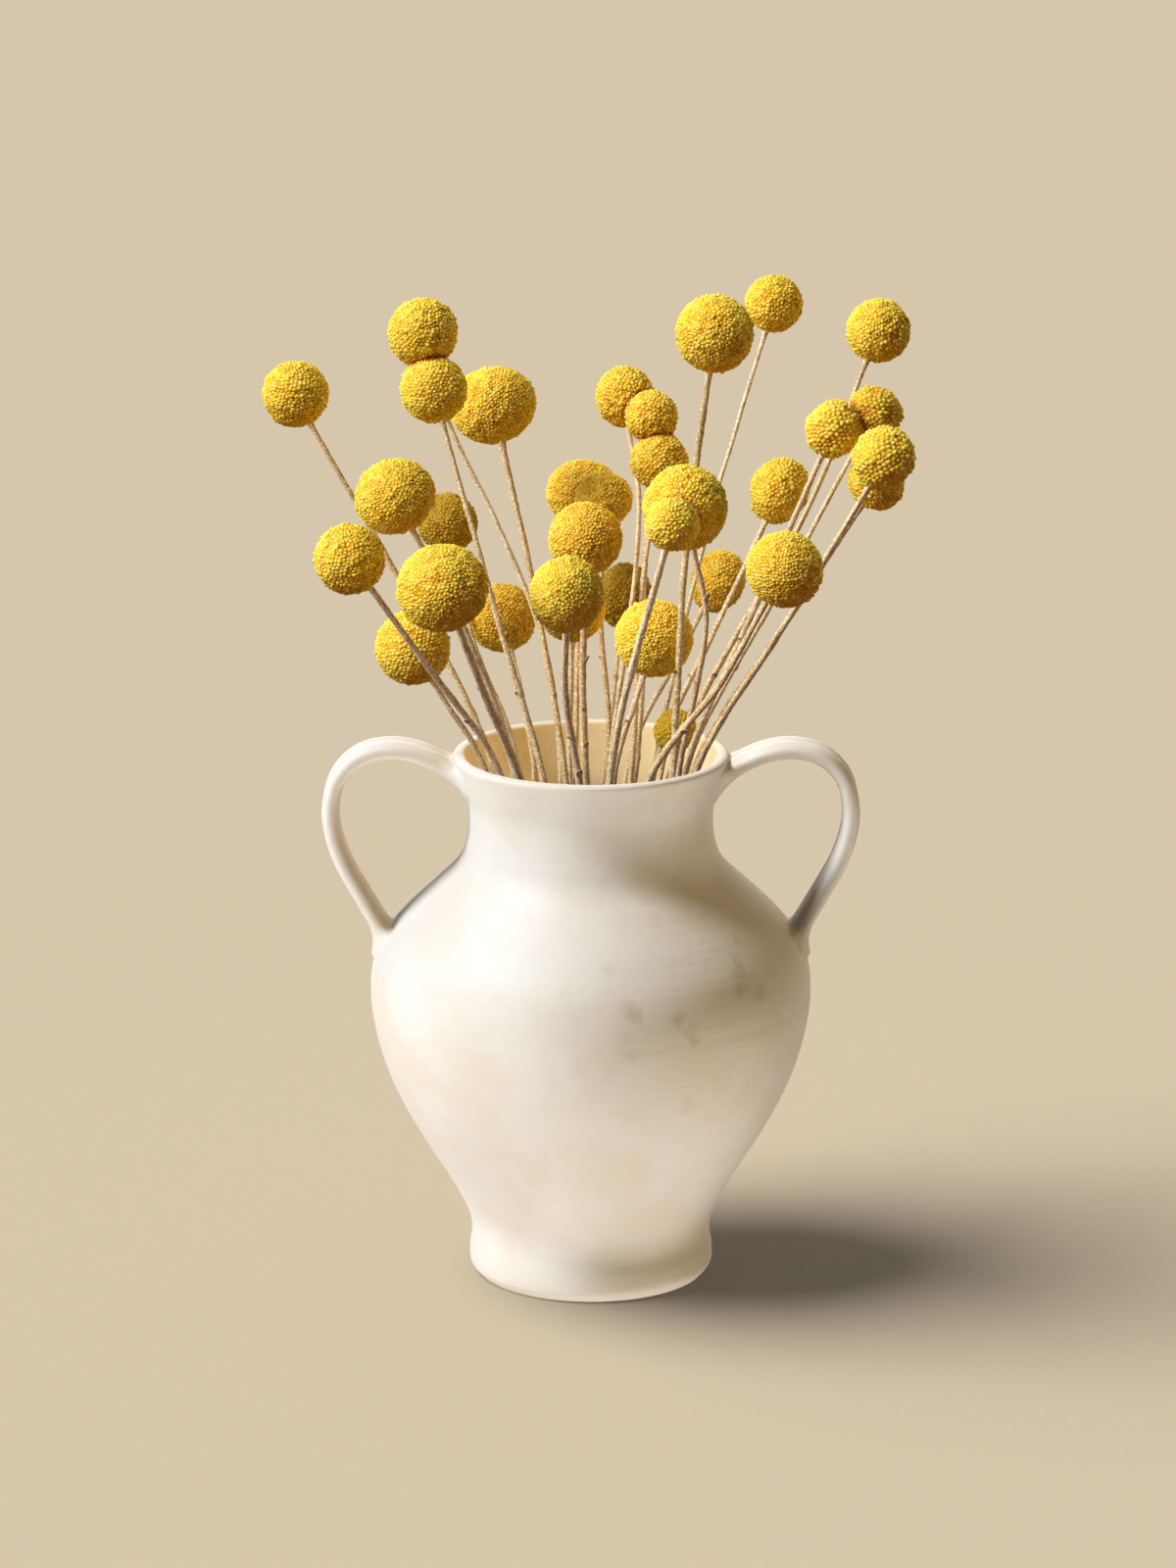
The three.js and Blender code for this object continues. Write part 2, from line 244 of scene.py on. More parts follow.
def catmull_rom(points, count, power):
    """count points at equal steps along a smooth curve through the points, and its length. A
    uniform curve is rounder, and a centripetal one never loops between points."""
    p = np.asarray(points, float)
    before, after = (2 * p[0] - p[1], 2 * p[-1] - p[-2]) if power else (p[0], p[-1])
    p = np.vstack([before, p, after])
    dense = []
    t = np.linspace(0, 1, STEPS_PER_SPAN, endpoint=False)[:, None]
    for a, b, c, d in zip(p, p[1:], p[2:], p[3:]):
        first, span, last = (max(np.sum((y - x) ** 2) ** power, 1e-4)
                             for x, y in ((a, b), (b, c), (c, d)))
        start, end = (c - a) / 2, (d - b) / 2
        if power:
            start = ((b - a) / first - (c - a) / (first + span) + (c - b) / span) * span
            end = ((c - b) / span - (d - b) / (span + last) + (d - c) / last) * span
        dense.append(b + start * t + (3 * (c - b) - 2 * start - end) * t**2
                     + (2 * (b - c) + start + end) * t**3)
    dense = np.vstack(dense + [p[-2:-1]])
    along = np.concatenate([[0], np.cumsum(np.linalg.norm(np.diff(dense, axis=0), axis=1))])
    stops = np.linspace(0, along[-1], count)
    curve = np.stack([np.interp(stops, along, dense[:, i]) for i in range(p.shape[1])], 1)
    return curve, along[-1]


def wander(count, step, size, own):
    """A smooth random line of count values: it turns about every step values, within size."""
    knots = own.uniform(-1, 1, int(count / step) + 4)
    x = np.linspace(0, len(knots) - 2, count)
    i = x.astype(int)
    f = x - i
    f = f * f * (3 - 2 * f)
    return size * (knots[i] * (1 - f) + knots[i + 1] * f)


print("a curve over a 3 by 4 mm corner is",
      round(catmull_rom([(0, 0), (3, 0), (3, 4)], 9, CENTRIPETAL)[1], 2), "mm long")

# %% [markdown]
# ## The clay body
# The vase is thrown on a wheel, so its body is an outline turned round an axis. A Screw modifier
# could do that. Here the rings are computed, because a thrown pot is never quite round: its
# radius wavers by a few tenths of a millimetre, and the rings carry shallow throwing lines. The
# wall has an inside and an outside with a round lip.

# %% The outline of the wall
OUTSIDE = [
    (43.8, 0), (46.6, 3.5), (46.9, 9), (46.0, 17), (48.2, 26), (55.6, 40), (66, 57), (75.8, 76),
    (82, 95), (84.3, 114), (81, 129), (72.4, 141), (61, 152), (51, 162), (47.2, 172), (46.8, 184),
    (49.6, 195), (52.4, 203.6),
]
OUTSIDE_RINGS = 150
WIDEST = 84.2
WALL = 4.6
LIP_RISE = 1.35
LIP_FROM, LIP_TO, LIP_RINGS = 0.12, 0.96, 9
INSIDE_FROM, INSIDE_TO = 18, 202.4
FLOOR_HEIGHT = 9
FOOT_RING = [(20.0, 0.9), (36.0, 0.9), (38.5, 0.0), (41.5, 0.0)]
INSIDE_FLOOR = [(41.2, 14.2), (38.6, 10.6), (34, FLOOR_HEIGHT), (18, FLOOR_HEIGHT)]

outline, _ = catmull_rom(OUTSIDE, OUTSIDE_RINGS, UNIFORM)
outline[:, 0] = np.minimum(outline[:, 0], WIDEST)


def lip(radius, height):
    """A round lip from the outside wall over to the inside wall, as (radius, height) points."""
    middle = radius - WALL / 2
    angles = np.linspace(LIP_FROM, LIP_TO, LIP_RINGS) * math.pi
    return np.stack([middle + WALL / 2 * np.cos(angles), height + LIP_RISE * np.sin(angles)], 1)


# The inside has a ring for every third one of the outside, as hardly any of it shows.
inside = outline[::-3] - (WALL, 0)
inside = inside[(inside[:, 1] > INSIDE_FROM) & (inside[:, 1] < INSIDE_TO)]
section = np.vstack([FOOT_RING, outline, lip(*outline[-1]), inside, INSIDE_FLOOR])
print("the section of the wall has", len(section), "points")

# %% The body on the wheel
TURN_STEPS = 168
OUT_OF_ROUND = 0.22
THROWING_DEPTH = 0.05
THROWING_PACE = 1.9


def turn(section):
    """Turns the section round the axis, with a slight waver and throwing lines on the walls."""
    angles = np.linspace(0, 2 * math.pi, TURN_STEPS, endpoint=False)
    radius, height = section[:, :1], section[:, 1:]
    # An oval and a three-sided waver that grow from the foot up. The body is as much slimmer
    # all round, so that it stays inside its solid.
    waver = np.cos(2 * angles + 0.8) * 0.6 + np.cos(3 * angles + 2.1) * 0.4
    waver = OUT_OF_ROUND * (waver * np.clip(height / 60, 0, 1) - 1.0)
    # The lines rise in a spiral, at an uneven pace, and leave out foot and lip.
    lines = np.sin(height * THROWING_PACE + 0.8 * np.sin(height * 0.31) + angles)
    body = np.clip((height - 20) / 20, 0, 1) * np.clip((200 - height) / 10, 0, 1)
    r = radius + waver * np.clip(height / 8, 0, 1) + THROWING_DEPTH * lines * body
    points = np.stack([r * np.cos(angles), r * np.sin(angles), height + 0 * angles], -1)
    middles = [(0, 0, section[0, 1]), (0, 0, section[-1, 1])]
    return np.vstack([points.reshape(-1, 3), middles])


body_points = turn(section)
body_faces = outward(body_points, rings_to_faces(len(section), TURN_STEPS))
print("body", len(body_faces), "triangles, widest", body_points[:, 0].max().round(2), "mm")

# %% [markdown]
# ## The strap handles
# A potter pulls a strap, presses one end under the lip and the other on the shoulder, and smears
# the clay so that both joints flow into the wall. A plain sweep with a Boolean would leave hard
# creases there. Here the strap is a bundle of lines. Each is followed to the place where it meets
# the wall, and near that place it turns aside on a quarter circle, as a smeared joint does. The
# lines end just under the glaze, and a union makes one body.

# %% How far from the wall
def height_over_wall(points):
    """How far points lie outside the wall of the body, and the way out from it."""
    flat = np.stack([np.linalg.norm(points[..., :2], axis=-1), points[..., 2]], -1)
    a, b = outline[:-1], outline[1:]
    ab = b - a
    t = np.clip(np.sum((flat[..., None, :] - a) * ab, -1) / np.sum(ab * ab, -1), 0, 1)
    gap = flat[..., None, :] - (a + t[..., None] * ab)
    which = np.argmin(np.sum(gap * gap, -1), -1)
    nearest = np.take_along_axis(gap, which[..., None, None], -2)[..., 0, :]
    out = unit(np.stack([ab[:, 1], -ab[:, 0]], 1))[which]
    around = unit(points[..., :2])
    return np.sum(nearest * out, -1), np.concatenate([around * out[..., :1], out[..., 1:]], -1)


print("the top of the loop is", height_over_wall(np.array([77.0, 0, 206.5]))[0].round(1),
      "mm off the wall")

# %% The section of the strap
HANDLE_WIDTH, HANDLE_THICKNESS = 18.6, 7.0
# Powers under 1 make the strap's edges and faces flatter than those of an ellipse.
EDGE_POWER, FACE_POWER = 0.82, 0.72
FLUTE_DEPTH, FLUTE_WIDTH = 0.75, 2.6


def strap_section(angle):
    """The section of the strap, as the places across it and outwards of its lines."""
    across = np.sign(np.cos(angle)) * np.abs(np.cos(angle)) ** EDGE_POWER
    outwards = np.sign(np.sin(angle)) * np.abs(np.sin(angle)) ** FACE_POWER
    across = across * HANDLE_WIDTH / 2
    flute = FLUTE_DEPTH * np.exp(-((across / FLUTE_WIDTH) ** 2)) * np.clip(outwards, 0, 1)
    return across, outwards * HANDLE_THICKNESS / 2 - flute


print("in its flute the strap is", HANDLE_THICKNESS - FLUTE_DEPTH, "mm thick")

# %% The pulled strap
HANDLE_LINE = [
    (43, 191), (55, 199.8), (66, 205), (77, 206.5), (88, 203.5), (95.8, 195.5), (98.8, 184),
    (97.8, 173), (94, 162), (87.5, 150), (80, 137), (72, 124),
]
LOOP_MIDDLE = (76.0, 172.0)
STRAP_STEPS = 600
# How much wider the strap is at its ends and slimmer at its waist, and how far it sways.
FLARE, WAIST, SWAY = 0.22, 0.05, 0.25
HANDLE_RINGS, HANDLE_SIDES = 96, 44


def pulled_strap(side):
    """One strap as rings, each point's way from the middle of the strap, and its angle round it.
    side is 1 for the handle on the right, and -1 for the one on the left."""
    flat, _ = catmull_rom(HANDLE_LINE, STRAP_STEPS, CENTRIPETAL)
    level = np.zeros(STRAP_STEPS)
    middle = np.stack([side * flat[:, 0], level, flat[:, 1]], 1)
    tangent = unit(np.gradient(middle, axis=0))
    out = np.stack([tangent[:, 2], level, -tangent[:, 0]], 1)
    out *= np.sign(np.sum(out * (middle - (side * LOOP_MIDDLE[0], 0, LOOP_MIDDLE[1])), 1))[:, None]
    share = np.linspace(0, 1, STRAP_STEPS)
    wider = (1 + FLARE * np.abs(2 * share - 1) ** 6
             - WAIST * np.exp(-(((share - 0.62) / 0.15) ** 2)))
    middle[:, 1] = SWAY * np.sin(share * 7 + side)
    angle = np.linspace(0, 2 * math.pi, HANDLE_SIDES, endpoint=False)
    across, outwards = strap_section(angle)
    streams = middle[:, None, :] + out[:, None, :] * outwards[None, :, None]
    streams[:, :, 1] += across[None, :] * wider[:, None]
    # Each line is kept where it is outside the wall, with rings closer together at both ends.
    over, _ = height_over_wall(streams)
    steps = 0.5 - 0.5 * np.cos(np.linspace(0, math.pi, HANDLE_RINGS))
    steps = 0.55 * steps + 0.45 * np.linspace(0, 1, HANDLE_RINGS)
    rings = np.zeros((HANDLE_RINGS, HANDLE_SIDES, 3))
    offset = np.zeros_like(rings)
    half, places = STRAP_STEPS // 2, np.arange(STRAP_STEPS)
    for j in range(HANDLE_SIDES):
        first = np.argmax(over[:half, j] > 0)
        last = STRAP_STEPS - 1 - np.argmax(over[:half - 1:-1, j] > 0)
        stops = first + (last - first) * steps
        for axis in range(3):
            rings[:, j, axis] = np.interp(stops, places, streams[:, j, axis])
            centre = np.interp(stops, places, middle[:, axis])
            offset[:, j, axis] = rings[:, j, axis] - centre
    return rings, offset, angle


print("the strap's line is", round(catmull_rom(HANDLE_LINE, STRAP_STEPS, CENTRIPETAL)[1]),
      "mm long")

# %% The smeared joints
# The radius of the smeared clay on the outer face, the inner face and the edges of the strap.
SMEAR_TOP = (3.6, 9.0, 6.5)
SMEAR_BOTTOM = (11.0, 2.6, 5.0)
UNDER_GLAZE = 0.45
TIP_DEPTH = 1.2


def smear(rings, offset, angle):
    """Turns the ends of the lines aside on quarter circles, and sinks them under the glaze."""
    over, way_out = height_over_wall(rings)
    half = HANDLE_RINGS // 2
    lift = np.sin(angle)
    for part, (outer, inner, edge) in ((slice(0, half), SMEAR_TOP),
                                       (slice(half, None), SMEAR_BOTTOM)):
        radius = (edge + (outer - edge) * np.clip(lift, 0, 1) ** 2
                  + (inner - edge) * np.clip(-lift, 0, 1) ** 2)
        h = np.clip(over[part], 0, radius)
        aside = radius - np.sqrt(np.maximum(radius**2 - (radius - h) ** 2, 0))
        into_wall = np.sum(offset[part] * way_out[part], -1, keepdims=True)
        rings[part] += unit(offset[part] - way_out[part] * into_wall) * aside[..., None]
    over, way_out = height_over_wall(rings)
    ends = np.zeros(HANDLE_RINGS)
    ends[[0, -1]] = 1
    rings -= way_out * ((over + UNDER_GLAZE) * ends[:, None])[..., None]
    tips = np.array([rings[0].mean(0), rings[-1].mean(0)])
    _, tip_out = height_over_wall(tips)
    return np.vstack([rings.reshape(-1, 3), tips - tip_out * TIP_DEPTH])


handles = []
for side in (1, -1):
    points = smear(*pulled_strap(side))
    handles.append((points, outward(points, rings_to_faces(HANDLE_RINGS, HANDLE_SIDES))))
    print("handle", side, "box", points.min(0).round(1), points.max(0).round(1))

# %% [markdown]
# ## The glaze
# The clay is pale stoneware under a satin tin-white glaze. Light gets about a millimetre into
# such a glaze, so it looks soft and milky, and its gloss is broad. What gives it away as
# hand-made is uneven: the glaze is thinner and warmer in places, fine throwing lines catch the
# light, beige dirt sits in the creases of the joints, and weak brown stains of a centimetre or so
# spread on one shoulder. Stoneware glaze has an IOR of about 1.5. An image could be painted on
# it, but noise in millimetres has no seams on a turned form.

# %% Stains and dirt
STAIN_SIZE = 10
STAIN_RAG, STAIN_SHIFT = 6, 7.0
STAINED_SHOULDER = (42, -66, 124)
JOINTS = [(51, 0, 199), (-51, 0, 199), (78, 0, 133), (-78, 0, 133)]
JOINT_CLOUDS = 6


def stains(tree, place):
    """Coats for weak, soft brown blots, most of them on the stained shoulder. Noise shifts each
    place by a few millimetres, which makes their edges ragged."""
    rag = add(tree, "TexNoise", {"Vector": place, "Scale": 1 / STAIN_RAG, "Detail": 2})
    shift = add(tree, "VectorMath", {0: rag.outputs["Color"], "Scale": STAIN_SHIFT},
                operation="SCALE").outputs[0]
    shifted = add(tree, "VectorMath", {0: place, 1: shift}, operation="ADD").outputs[0]
    blots = add(tree, "TexVoronoi", {"Vector": shifted, "Scale": 1 / STAIN_SIZE,
                                     "Randomness": 1.0})
    size = add(tree, "SeparateColor", {0: blots.outputs["Color"]}).outputs[0]
    reach = add(tree, "MapRange", {"Value": size, "From Min": 0.25, "From Max": 1.0,
                                   "To Max": 0.9}).outputs[0]
    inside = add(tree, "Math", {0: reach, 1: blots.outputs["Distance"]},
                 operation="SUBTRACT").outputs[0]
    away = add(tree, "VectorMath", {0: place, 1: STAINED_SHOULDER},
               operation="DISTANCE").outputs["Value"]
    near = add(tree, "MapRange", {"Value": away, "From Min": 50, "From Max": 22,
                                  "To Min": 0.05, "To Max": 1.0}).outputs[0]
    spread = add(tree, "Math", {0: inside, 1: near}, operation="MULTIPLY").outputs[0]
    return [(away, 62, 20, 0.22, "#D3C4A8"), (spread, 0.0, 0.6, 0.5, "#BCA683")]


def joint_dirt(tree, place):
    """Coats of beige discolouring where the handles join, strongest in the creases."""
    cloud = add(tree, "TexNoise", {"Vector": place, "Scale": 1 / JOINT_CLOUDS, "Detail": 4,
                                   "Roughness": 0.65}).outputs["Fac"]
    patchy = add(tree, "MapRange", {"Value": cloud, "From Min": 0.35, "From Max": 0.7}).outputs[0]
    coats = []
    for joint in JOINTS:
        away = add(tree, "VectorMath", {0: place, 1: joint}, operation="DISTANCE").outputs["Value"]
        near = add(tree, "MapRange", {"Value": away, "From Min": 17, "From Max": 4}).outputs[0]
        dirt = add(tree, "Math", {0: near, 1: patchy}, operation="MULTIPLY").outputs[0]
        coats.append((dirt, 0.0, 1.0, 0.55, "#BFA479"))
    return coats


print("dirt in", len(JOINTS), "joints, stains of", STAIN_SIZE, "mm")

# %% The glaze
# The sizes of the patterns in millimetres.
GLAZE_CLOUDS, THIN_PATCHES, DIMPLES, GLAZE_GRAIN = 38, 7, 5, 0.9
THROWING_PITCH = 2.4
# The millimetres from band to band of Blender's wave pattern at a scale of 1.
BAND_PITCH = 0.314


def glaze():
    """Satin white glaze: milky, with a broad gloss and a slightly uneven skin."""
    finish, tree, place, clouds, patches, dimples, grain = new_finish(
        "satin white glaze on stoneware", (GLAZE_CLOUDS, 3, 0.55), (THIN_PATCHES, 4, 0.6),
        (DIMPLES, 2, 0.5), (GLAZE_GRAIN, 3, 0.6))
    height = add(tree, "SeparateXYZ", {0: place}).outputs["Z"]
    colour = with_coats(tree, linear("#E9E8E5"),
                        (clouds, 0.40, 0.68, 1.0, "#E5E0D7"),
                        (patches, 0.5, 0.8, 0.22, "#DAD2C4"),
                        *stains(tree, place),
                        *joint_dirt(tree, place),
                        (height, 24, 2, 0.3, "#D8CDBA"))
    lines = add(tree, "TexWave", {"Vector": place, "Scale": BAND_PITCH / THROWING_PITCH,
                                  "Distortion": 1.6, "Detail": 2, "Detail Scale": 0.6},
                wave_type="BANDS", bands_direction="Z").outputs["Fac"]
    rough = add(tree, "MapRange", {"Value": patches, "From Min": 0.3, "From Max": 0.75,
                                   "To Min": 0.50, "To Max": 0.62}).outputs[0]
    close_finish(tree, colour, [(lines, 0.10, 0.15), (dimples, 0.22, 0.5), (grain, 0.10, 0.1)], {
        "Roughness": rough, "IOR": 1.5, "Subsurface Weight": 0.12,
        "Subsurface Radius": (1.0, 0.7, 0.45), "Subsurface Scale": 1.5 * MM,
    })
    return finish


white_glaze = glaze()
print(white_glaze.name, "has", len(white_glaze.node_tree.nodes), "nodes")

# %% The inside, with painted shade
CLAY_CLOUDS, CLAY_SPECKS = 24, 1.2


def inside_with_painted_shade():
    """The inside of the neck: rougher than the glaze, and warmer and a little darker, which is
    painted shade and painted yellow light bounced from the flowers.
    """
    finish, tree, _, clouds, specks = new_finish(
        "stoneware inside with painted shade", (CLAY_CLOUDS, 4, 0.5), (CLAY_SPECKS, 2, 0.5))
    # Warmer and a little darker than the glaze: painted shade and painted yellow bounce from the
    # flowers.
    colour = with_coats(tree, linear("#F2E0BA"),
                        (clouds, 0.35, 0.7, 1.0, "#E6CE9C"),
                        (specks, 0.6, 0.75, 0.35, "#A58C64"))
    close_finish(tree, colour, [(specks, 0.3, 0.2)], {"Roughness": 0.8, "IOR": 1.5})
    return finish


shaded_inside_finish = inside_with_painted_shade()
print(shaded_inside_finish.name, "has", len(shaded_inside_finish.node_tree.nodes), "nodes")

# %% [markdown]
# ## One body of clay
# The two handles are added to the body with Boolean unions, as they are one piece of fired clay.
# Objects that only overlap would show a hard line and leave hidden faces. The inside faces then get
# their own finish, with painted shade and painted warm bounce, and can be told by place: inside the
# wall, below the lip.

# %% One body of clay
SHADED_INSIDE_FROM, SHADED_INSIDE_TO = 8, 204.6
INSIDE_DEPTH = 0.72 * WALL

vase = make_piece("stoneware_vase", body_points, [body_faces], [white_glaze, shaded_inside_finish])
for points, faces in handles:
    strap = make_piece("strap", points, [faces], [white_glaze])
    joined = vase.modifiers.new("join", "BOOLEAN")
    joined.operation = "UNION"
    joined.solver = "EXACT"
    joined.object = strap
    with bpy.context.temp_override(object=vase, active_object=vase):
        bpy.ops.object.modifier_apply(modifier="join")
    bpy.data.objects.remove(strap)

clay = vase.data
centres = np.zeros(len(clay.polygons) * 3)
clay.polygons.foreach_get("center", centres)
centres = centres.reshape(-1, 3) / MM
wall_radius = np.interp(centres[:, 2], outline[:, 1], outline[:, 0])
# The faces inside the wall, below the lip, get the inside finish with its painted shade.
is_inside = np.linalg.norm(centres[:, :2], axis=1) < wall_radius - INSIDE_DEPTH
is_inside &= (centres[:, 2] > SHADED_INSIDE_FROM) & (centres[:, 2] < SHADED_INSIDE_TO)
clay.polygons.foreach_set("material_index", is_inside.astype(np.int32))
clay.polygons.foreach_set("use_smooth", np.ones(len(clay.polygons), bool))
clay.update()
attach(vase, "root")
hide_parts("vase")
print("vase", len(clay.polygons), "faces,", int(is_inside.sum()), "of them inside")

# %% [markdown]
# ## The flowers' places
# Each row is a flower: the middle of its ball, its width, the place of its stem in the mouth of the
# vase, the thickness of the stem, the spacing of the florets, from fine, closed heads to coarse,
# open ones, and the ripeness, which runs from 0, still greenish, over 0.5, clear yellow, to 1,
# orange. The rest is given where it is special: how tall the ball is for its width, the bow of the
# stem and how far up it is, or the points that the stem goes via, and for heads that sit in the
# shade of others, how strong a brown coat of painted shade they get. The solid model has the same
# places, so that what is seen and what collides agree.

# %% The flowers' places
# Where a row gives a brown coat, it is painted shade on a head that sits in the shade of others.
FLOWERS = [
    ((-112, 20, 339), 25, (-38, 9), 2.7, 1.60, 0.5, dict(bow=(2, 0))),
    ((-63, 16, 363), 26, (-12, 24), 2.3, 1.60, 0.5, dict(via=[(-21, 24, 252), (-54, 33, 326)])),
    ((-59, 8, 343), 25, (-18, -22), 2.9, 1.55, 0.5, dict(bow=(0, -3))),
    ((-37, 29, 333), 32, (-10, -11), 2.9, 1.45, 0.6, dict(tall=0.9, bow=(2, 0))),
    ((-73, -15, 307), 30, (-30, 3), 3, 1.45, 0.62, dict(tall=0.9, bow=(4, 3))),
    ((-55, 45, 284), 23, (-29, 15), 2.7, 1.60, 0.6, dict(bow=(-3, -7), painted_shade=0.6)),
    ((-89, -45, 290), 26, (-34, -16), 3.2, 1.60, 0.52, dict(bow=(1, 0))),
    ((-54, -80, 287), 33, (-26, -30), 4, 1.50, 0.5, dict(tall=0.93)),
    ((-67, -10, 248), 28, (-40, -6), 2.8, 1.60, 0.62, dict()),
    ((-34, 35, 249), 26, (-22, 9), 2.9, 1.45, 0.75, dict(bow=(1, 0), painted_shade=0.2)),
    ((-3, 66, 291), 28, (-6, 36), 2.9, 1.45, 0.65, dict(tall=0.9)),
    ((5, 46, 293), 22, (7, 25), 2.7, 1.45, 0.65, dict(tall=0.94, bow=(-2, 0), painted_shade=0.2)),
    ((-2, -20, 292), 27, (-2, -20), 3.4, 1.45, 0.72, dict(bow=(-1, 0))),
    ((-9, -68, 282), 27, (-4, -37), 3.7, 1.50, 0.25, dict(tall=1.06, bow=(-3, 0))),
    ((-7, 15, 257), 25, (-8, 5), 3, 1.50, 0.65, dict(painted_shade=0.3)),
    ((13, 72, 249), 21, (7, 38), 2.5, 1.90, 0.6, dict(tall=1.25, painted_shade=0.7)),
    ((13, 54, 331), 22, (8, 15), 2.6, 1.60, 0.6, dict(tall=1.07, bow=(7, -4), up=0.69)),
    ((23, 41, 326), 20, (18, 25), 2.5, 1.55, 0.55, dict(bow=(0, 21), up=0.72)),
    ((26, 35, 310), 22, (16, 13), 2.6, 1.65, 0.62, dict(bow=(-2, 5))),
    ((35, -25, 305), 31, (33, -19), 2.8, 1.55, 0.48, dict(bow=(9, 2), up=0.6)),
    ((30, -45, 303), 20, (7, -32), 3.4, 1.65, 0.2, dict(bow=(-2, 0))),
    ((24, 5, 248), 29, (9, -9), 3, 1.40, 0.6, dict()),
    ((49, 62, 257), 21, (17, 34), 2.6, 1.55, 0.62, dict(tall=1.18)),
    ((32, 5, 212), 16, (28, 8), 2.4, 1.55, 0.45, dict(tall=1.1, via=[])),
    ((46, 0, 367), 29, (31, -10), 3.4, 1.55, 0.45, dict(bow=(-3, 0))),
    ((70, 66, 365), 22, (26, 30), 2.2, 1.60, 0.5, dict(bow=(-3, 0))),
    ((109, 42, 359), 24, (33, 21), 2.6, 1.60, 0.45, dict(bow=(5, -5), up=0.6)),
    ((107, 16, 333), 21, (38, 12), 2.6, 1.95, 0.6, dict(tall=0.9, painted_shade=0.35)),
    ((91, 8, 328), 21, (36, -3), 2.8, 2.05, 0.5, dict(tall=1.07)),
    ((110, -12, 321), 23, (40, -9), 3, 2.05, 0.3, dict(tall=1.06)),
    ((107, 4, 308), 22, (40, 3), 2.6, 1.65, 0.5, dict(tall=0.87)),
    ((72, 38, 298), 22, (26, 17), 2.6, 1.65, 0.55, dict(tall=1.17)),
    ((71, -58, 289), 28, (21, -34), 3.2, 1.40, 0.58, dict(bow=(3, 0))),
]
PRESSED_HEADS = [(2, 3), (11, 12), (17, 18, 19), (20, 21), (28, 29), (30, 31)]

# %% The way of each stem
MOUTH_HEIGHT = 200
NECK_HEIGHT = 150
TWIST = math.radians(60)
FOOT_SPREAD = 0.7
FOOT_GAP = 0.3
COLLAR_LENGTH = 6
COLLAR_GAP = 0.4
BALL_FLAT = 0.86


def flower_shape(head, across, mouth, thick, spacing, ripeness, tall=1.0, bow=(0, 0), up=0.5,
                 via=None, painted_shade=0.0):
    """The middle, the way and the half sizes of a head, and the points that its stem passes."""
    middle = np.array(head, float)
    in_mouth = np.array((*mouth, MOUTH_HEIGHT), float)
    bends = [np.array(p, float) for p in via] if via is not None else [
        in_mouth + (middle - in_mouth) * up + (*bow, 0)]
    axis = unit(middle - ([in_mouth] + bends)[-1])
    size = np.array((across / 2, across / 2, across / 2 * tall))
    top = middle - axis * (BALL_FLAT * size[2] + COLLAR_GAP)
    collar = top - axis * COLLAR_LENGTH
    turned = (mouth[0] * math.cos(TWIST) - mouth[1] * math.sin(TWIST),
              mouth[0] * math.sin(TWIST) + mouth[1] * math.cos(TWIST))
    foot = np.array((turned[0] * FOOT_SPREAD, turned[1] * FOOT_SPREAD,
                     FLOOR_HEIGHT + FOOT_GAP + 0.12 * thick))
    in_neck = in_mouth + (foot - in_mouth) * (MOUTH_HEIGHT - NECK_HEIGHT) / (
        MOUTH_HEIGHT - FLOOR_HEIGHT)
    below = [p for p in (foot, in_neck, in_mouth, *bends) if p[2] < collar[2] - COLLAR_LENGTH]
    return dict(middle=middle, axis=axis, size=size, line=below + [collar, top], thick=thick,
                spacing=spacing, ripeness=ripeness, painted_shade=painted_shade)


shapes = [flower_shape(*places, **special) for *places, special in FLOWERS]
widths = [round(shape["size"][0] * 2) for shape in shapes]
print(len(shapes), "flowers, balls from", min(widths), "to", max(widths), "mm across")

# %% [markdown]
# ## The stems
# A dried billy button stem is a bare straw: ribbed along its length, a little thicker towards the
# foot, marked with the scars of fallen leaves, and woolly with short pale fibres. A bevelled
# curve would be a smooth tube. Here each ring of the tube has its own ribs, swellings and wander,
# and numbers for how far along and around it lies, from which the finish draws streaks that
# follow the stem. The rings are further apart inside the vase, where they don't show.

# %% Ways across a line
def frames_along(line, reference):
    """The way of the line and two directions across it, at each of its points."""
    tangent = unit(np.gradient(line, axis=0))
    reference = np.array(reference, float)
    across = unit(reference - tangent * (tangent @ reference)[:, None])
    return tangent, across, np.cross(tangent, across)


foot, *_, top = shapes[0]["line"]
print("the first stem leans", round(math.degrees(math.acos(unit(top - foot)[2]))), "degrees")

# %% The stems
STEM_SIDES = 14
RING_STEP = 1.5
HIDDEN_STEP = 7.5
HIDDEN_BELOW = 186
FOOT_WIDTH, TAPER = 1.06, 0.36
SWELLING = 0.06
COLLAR_WIDTH, COLLAR_FLARE = 0.15, 1.8
RIBS, RIB_DEPTH, OVAL_DEPTH = 7, 0.07, 0.05
SCAR_GAP, SCAR_SWELL = 55, 0.22
DRY_SKIN = 0.085
WANDER = 0.28


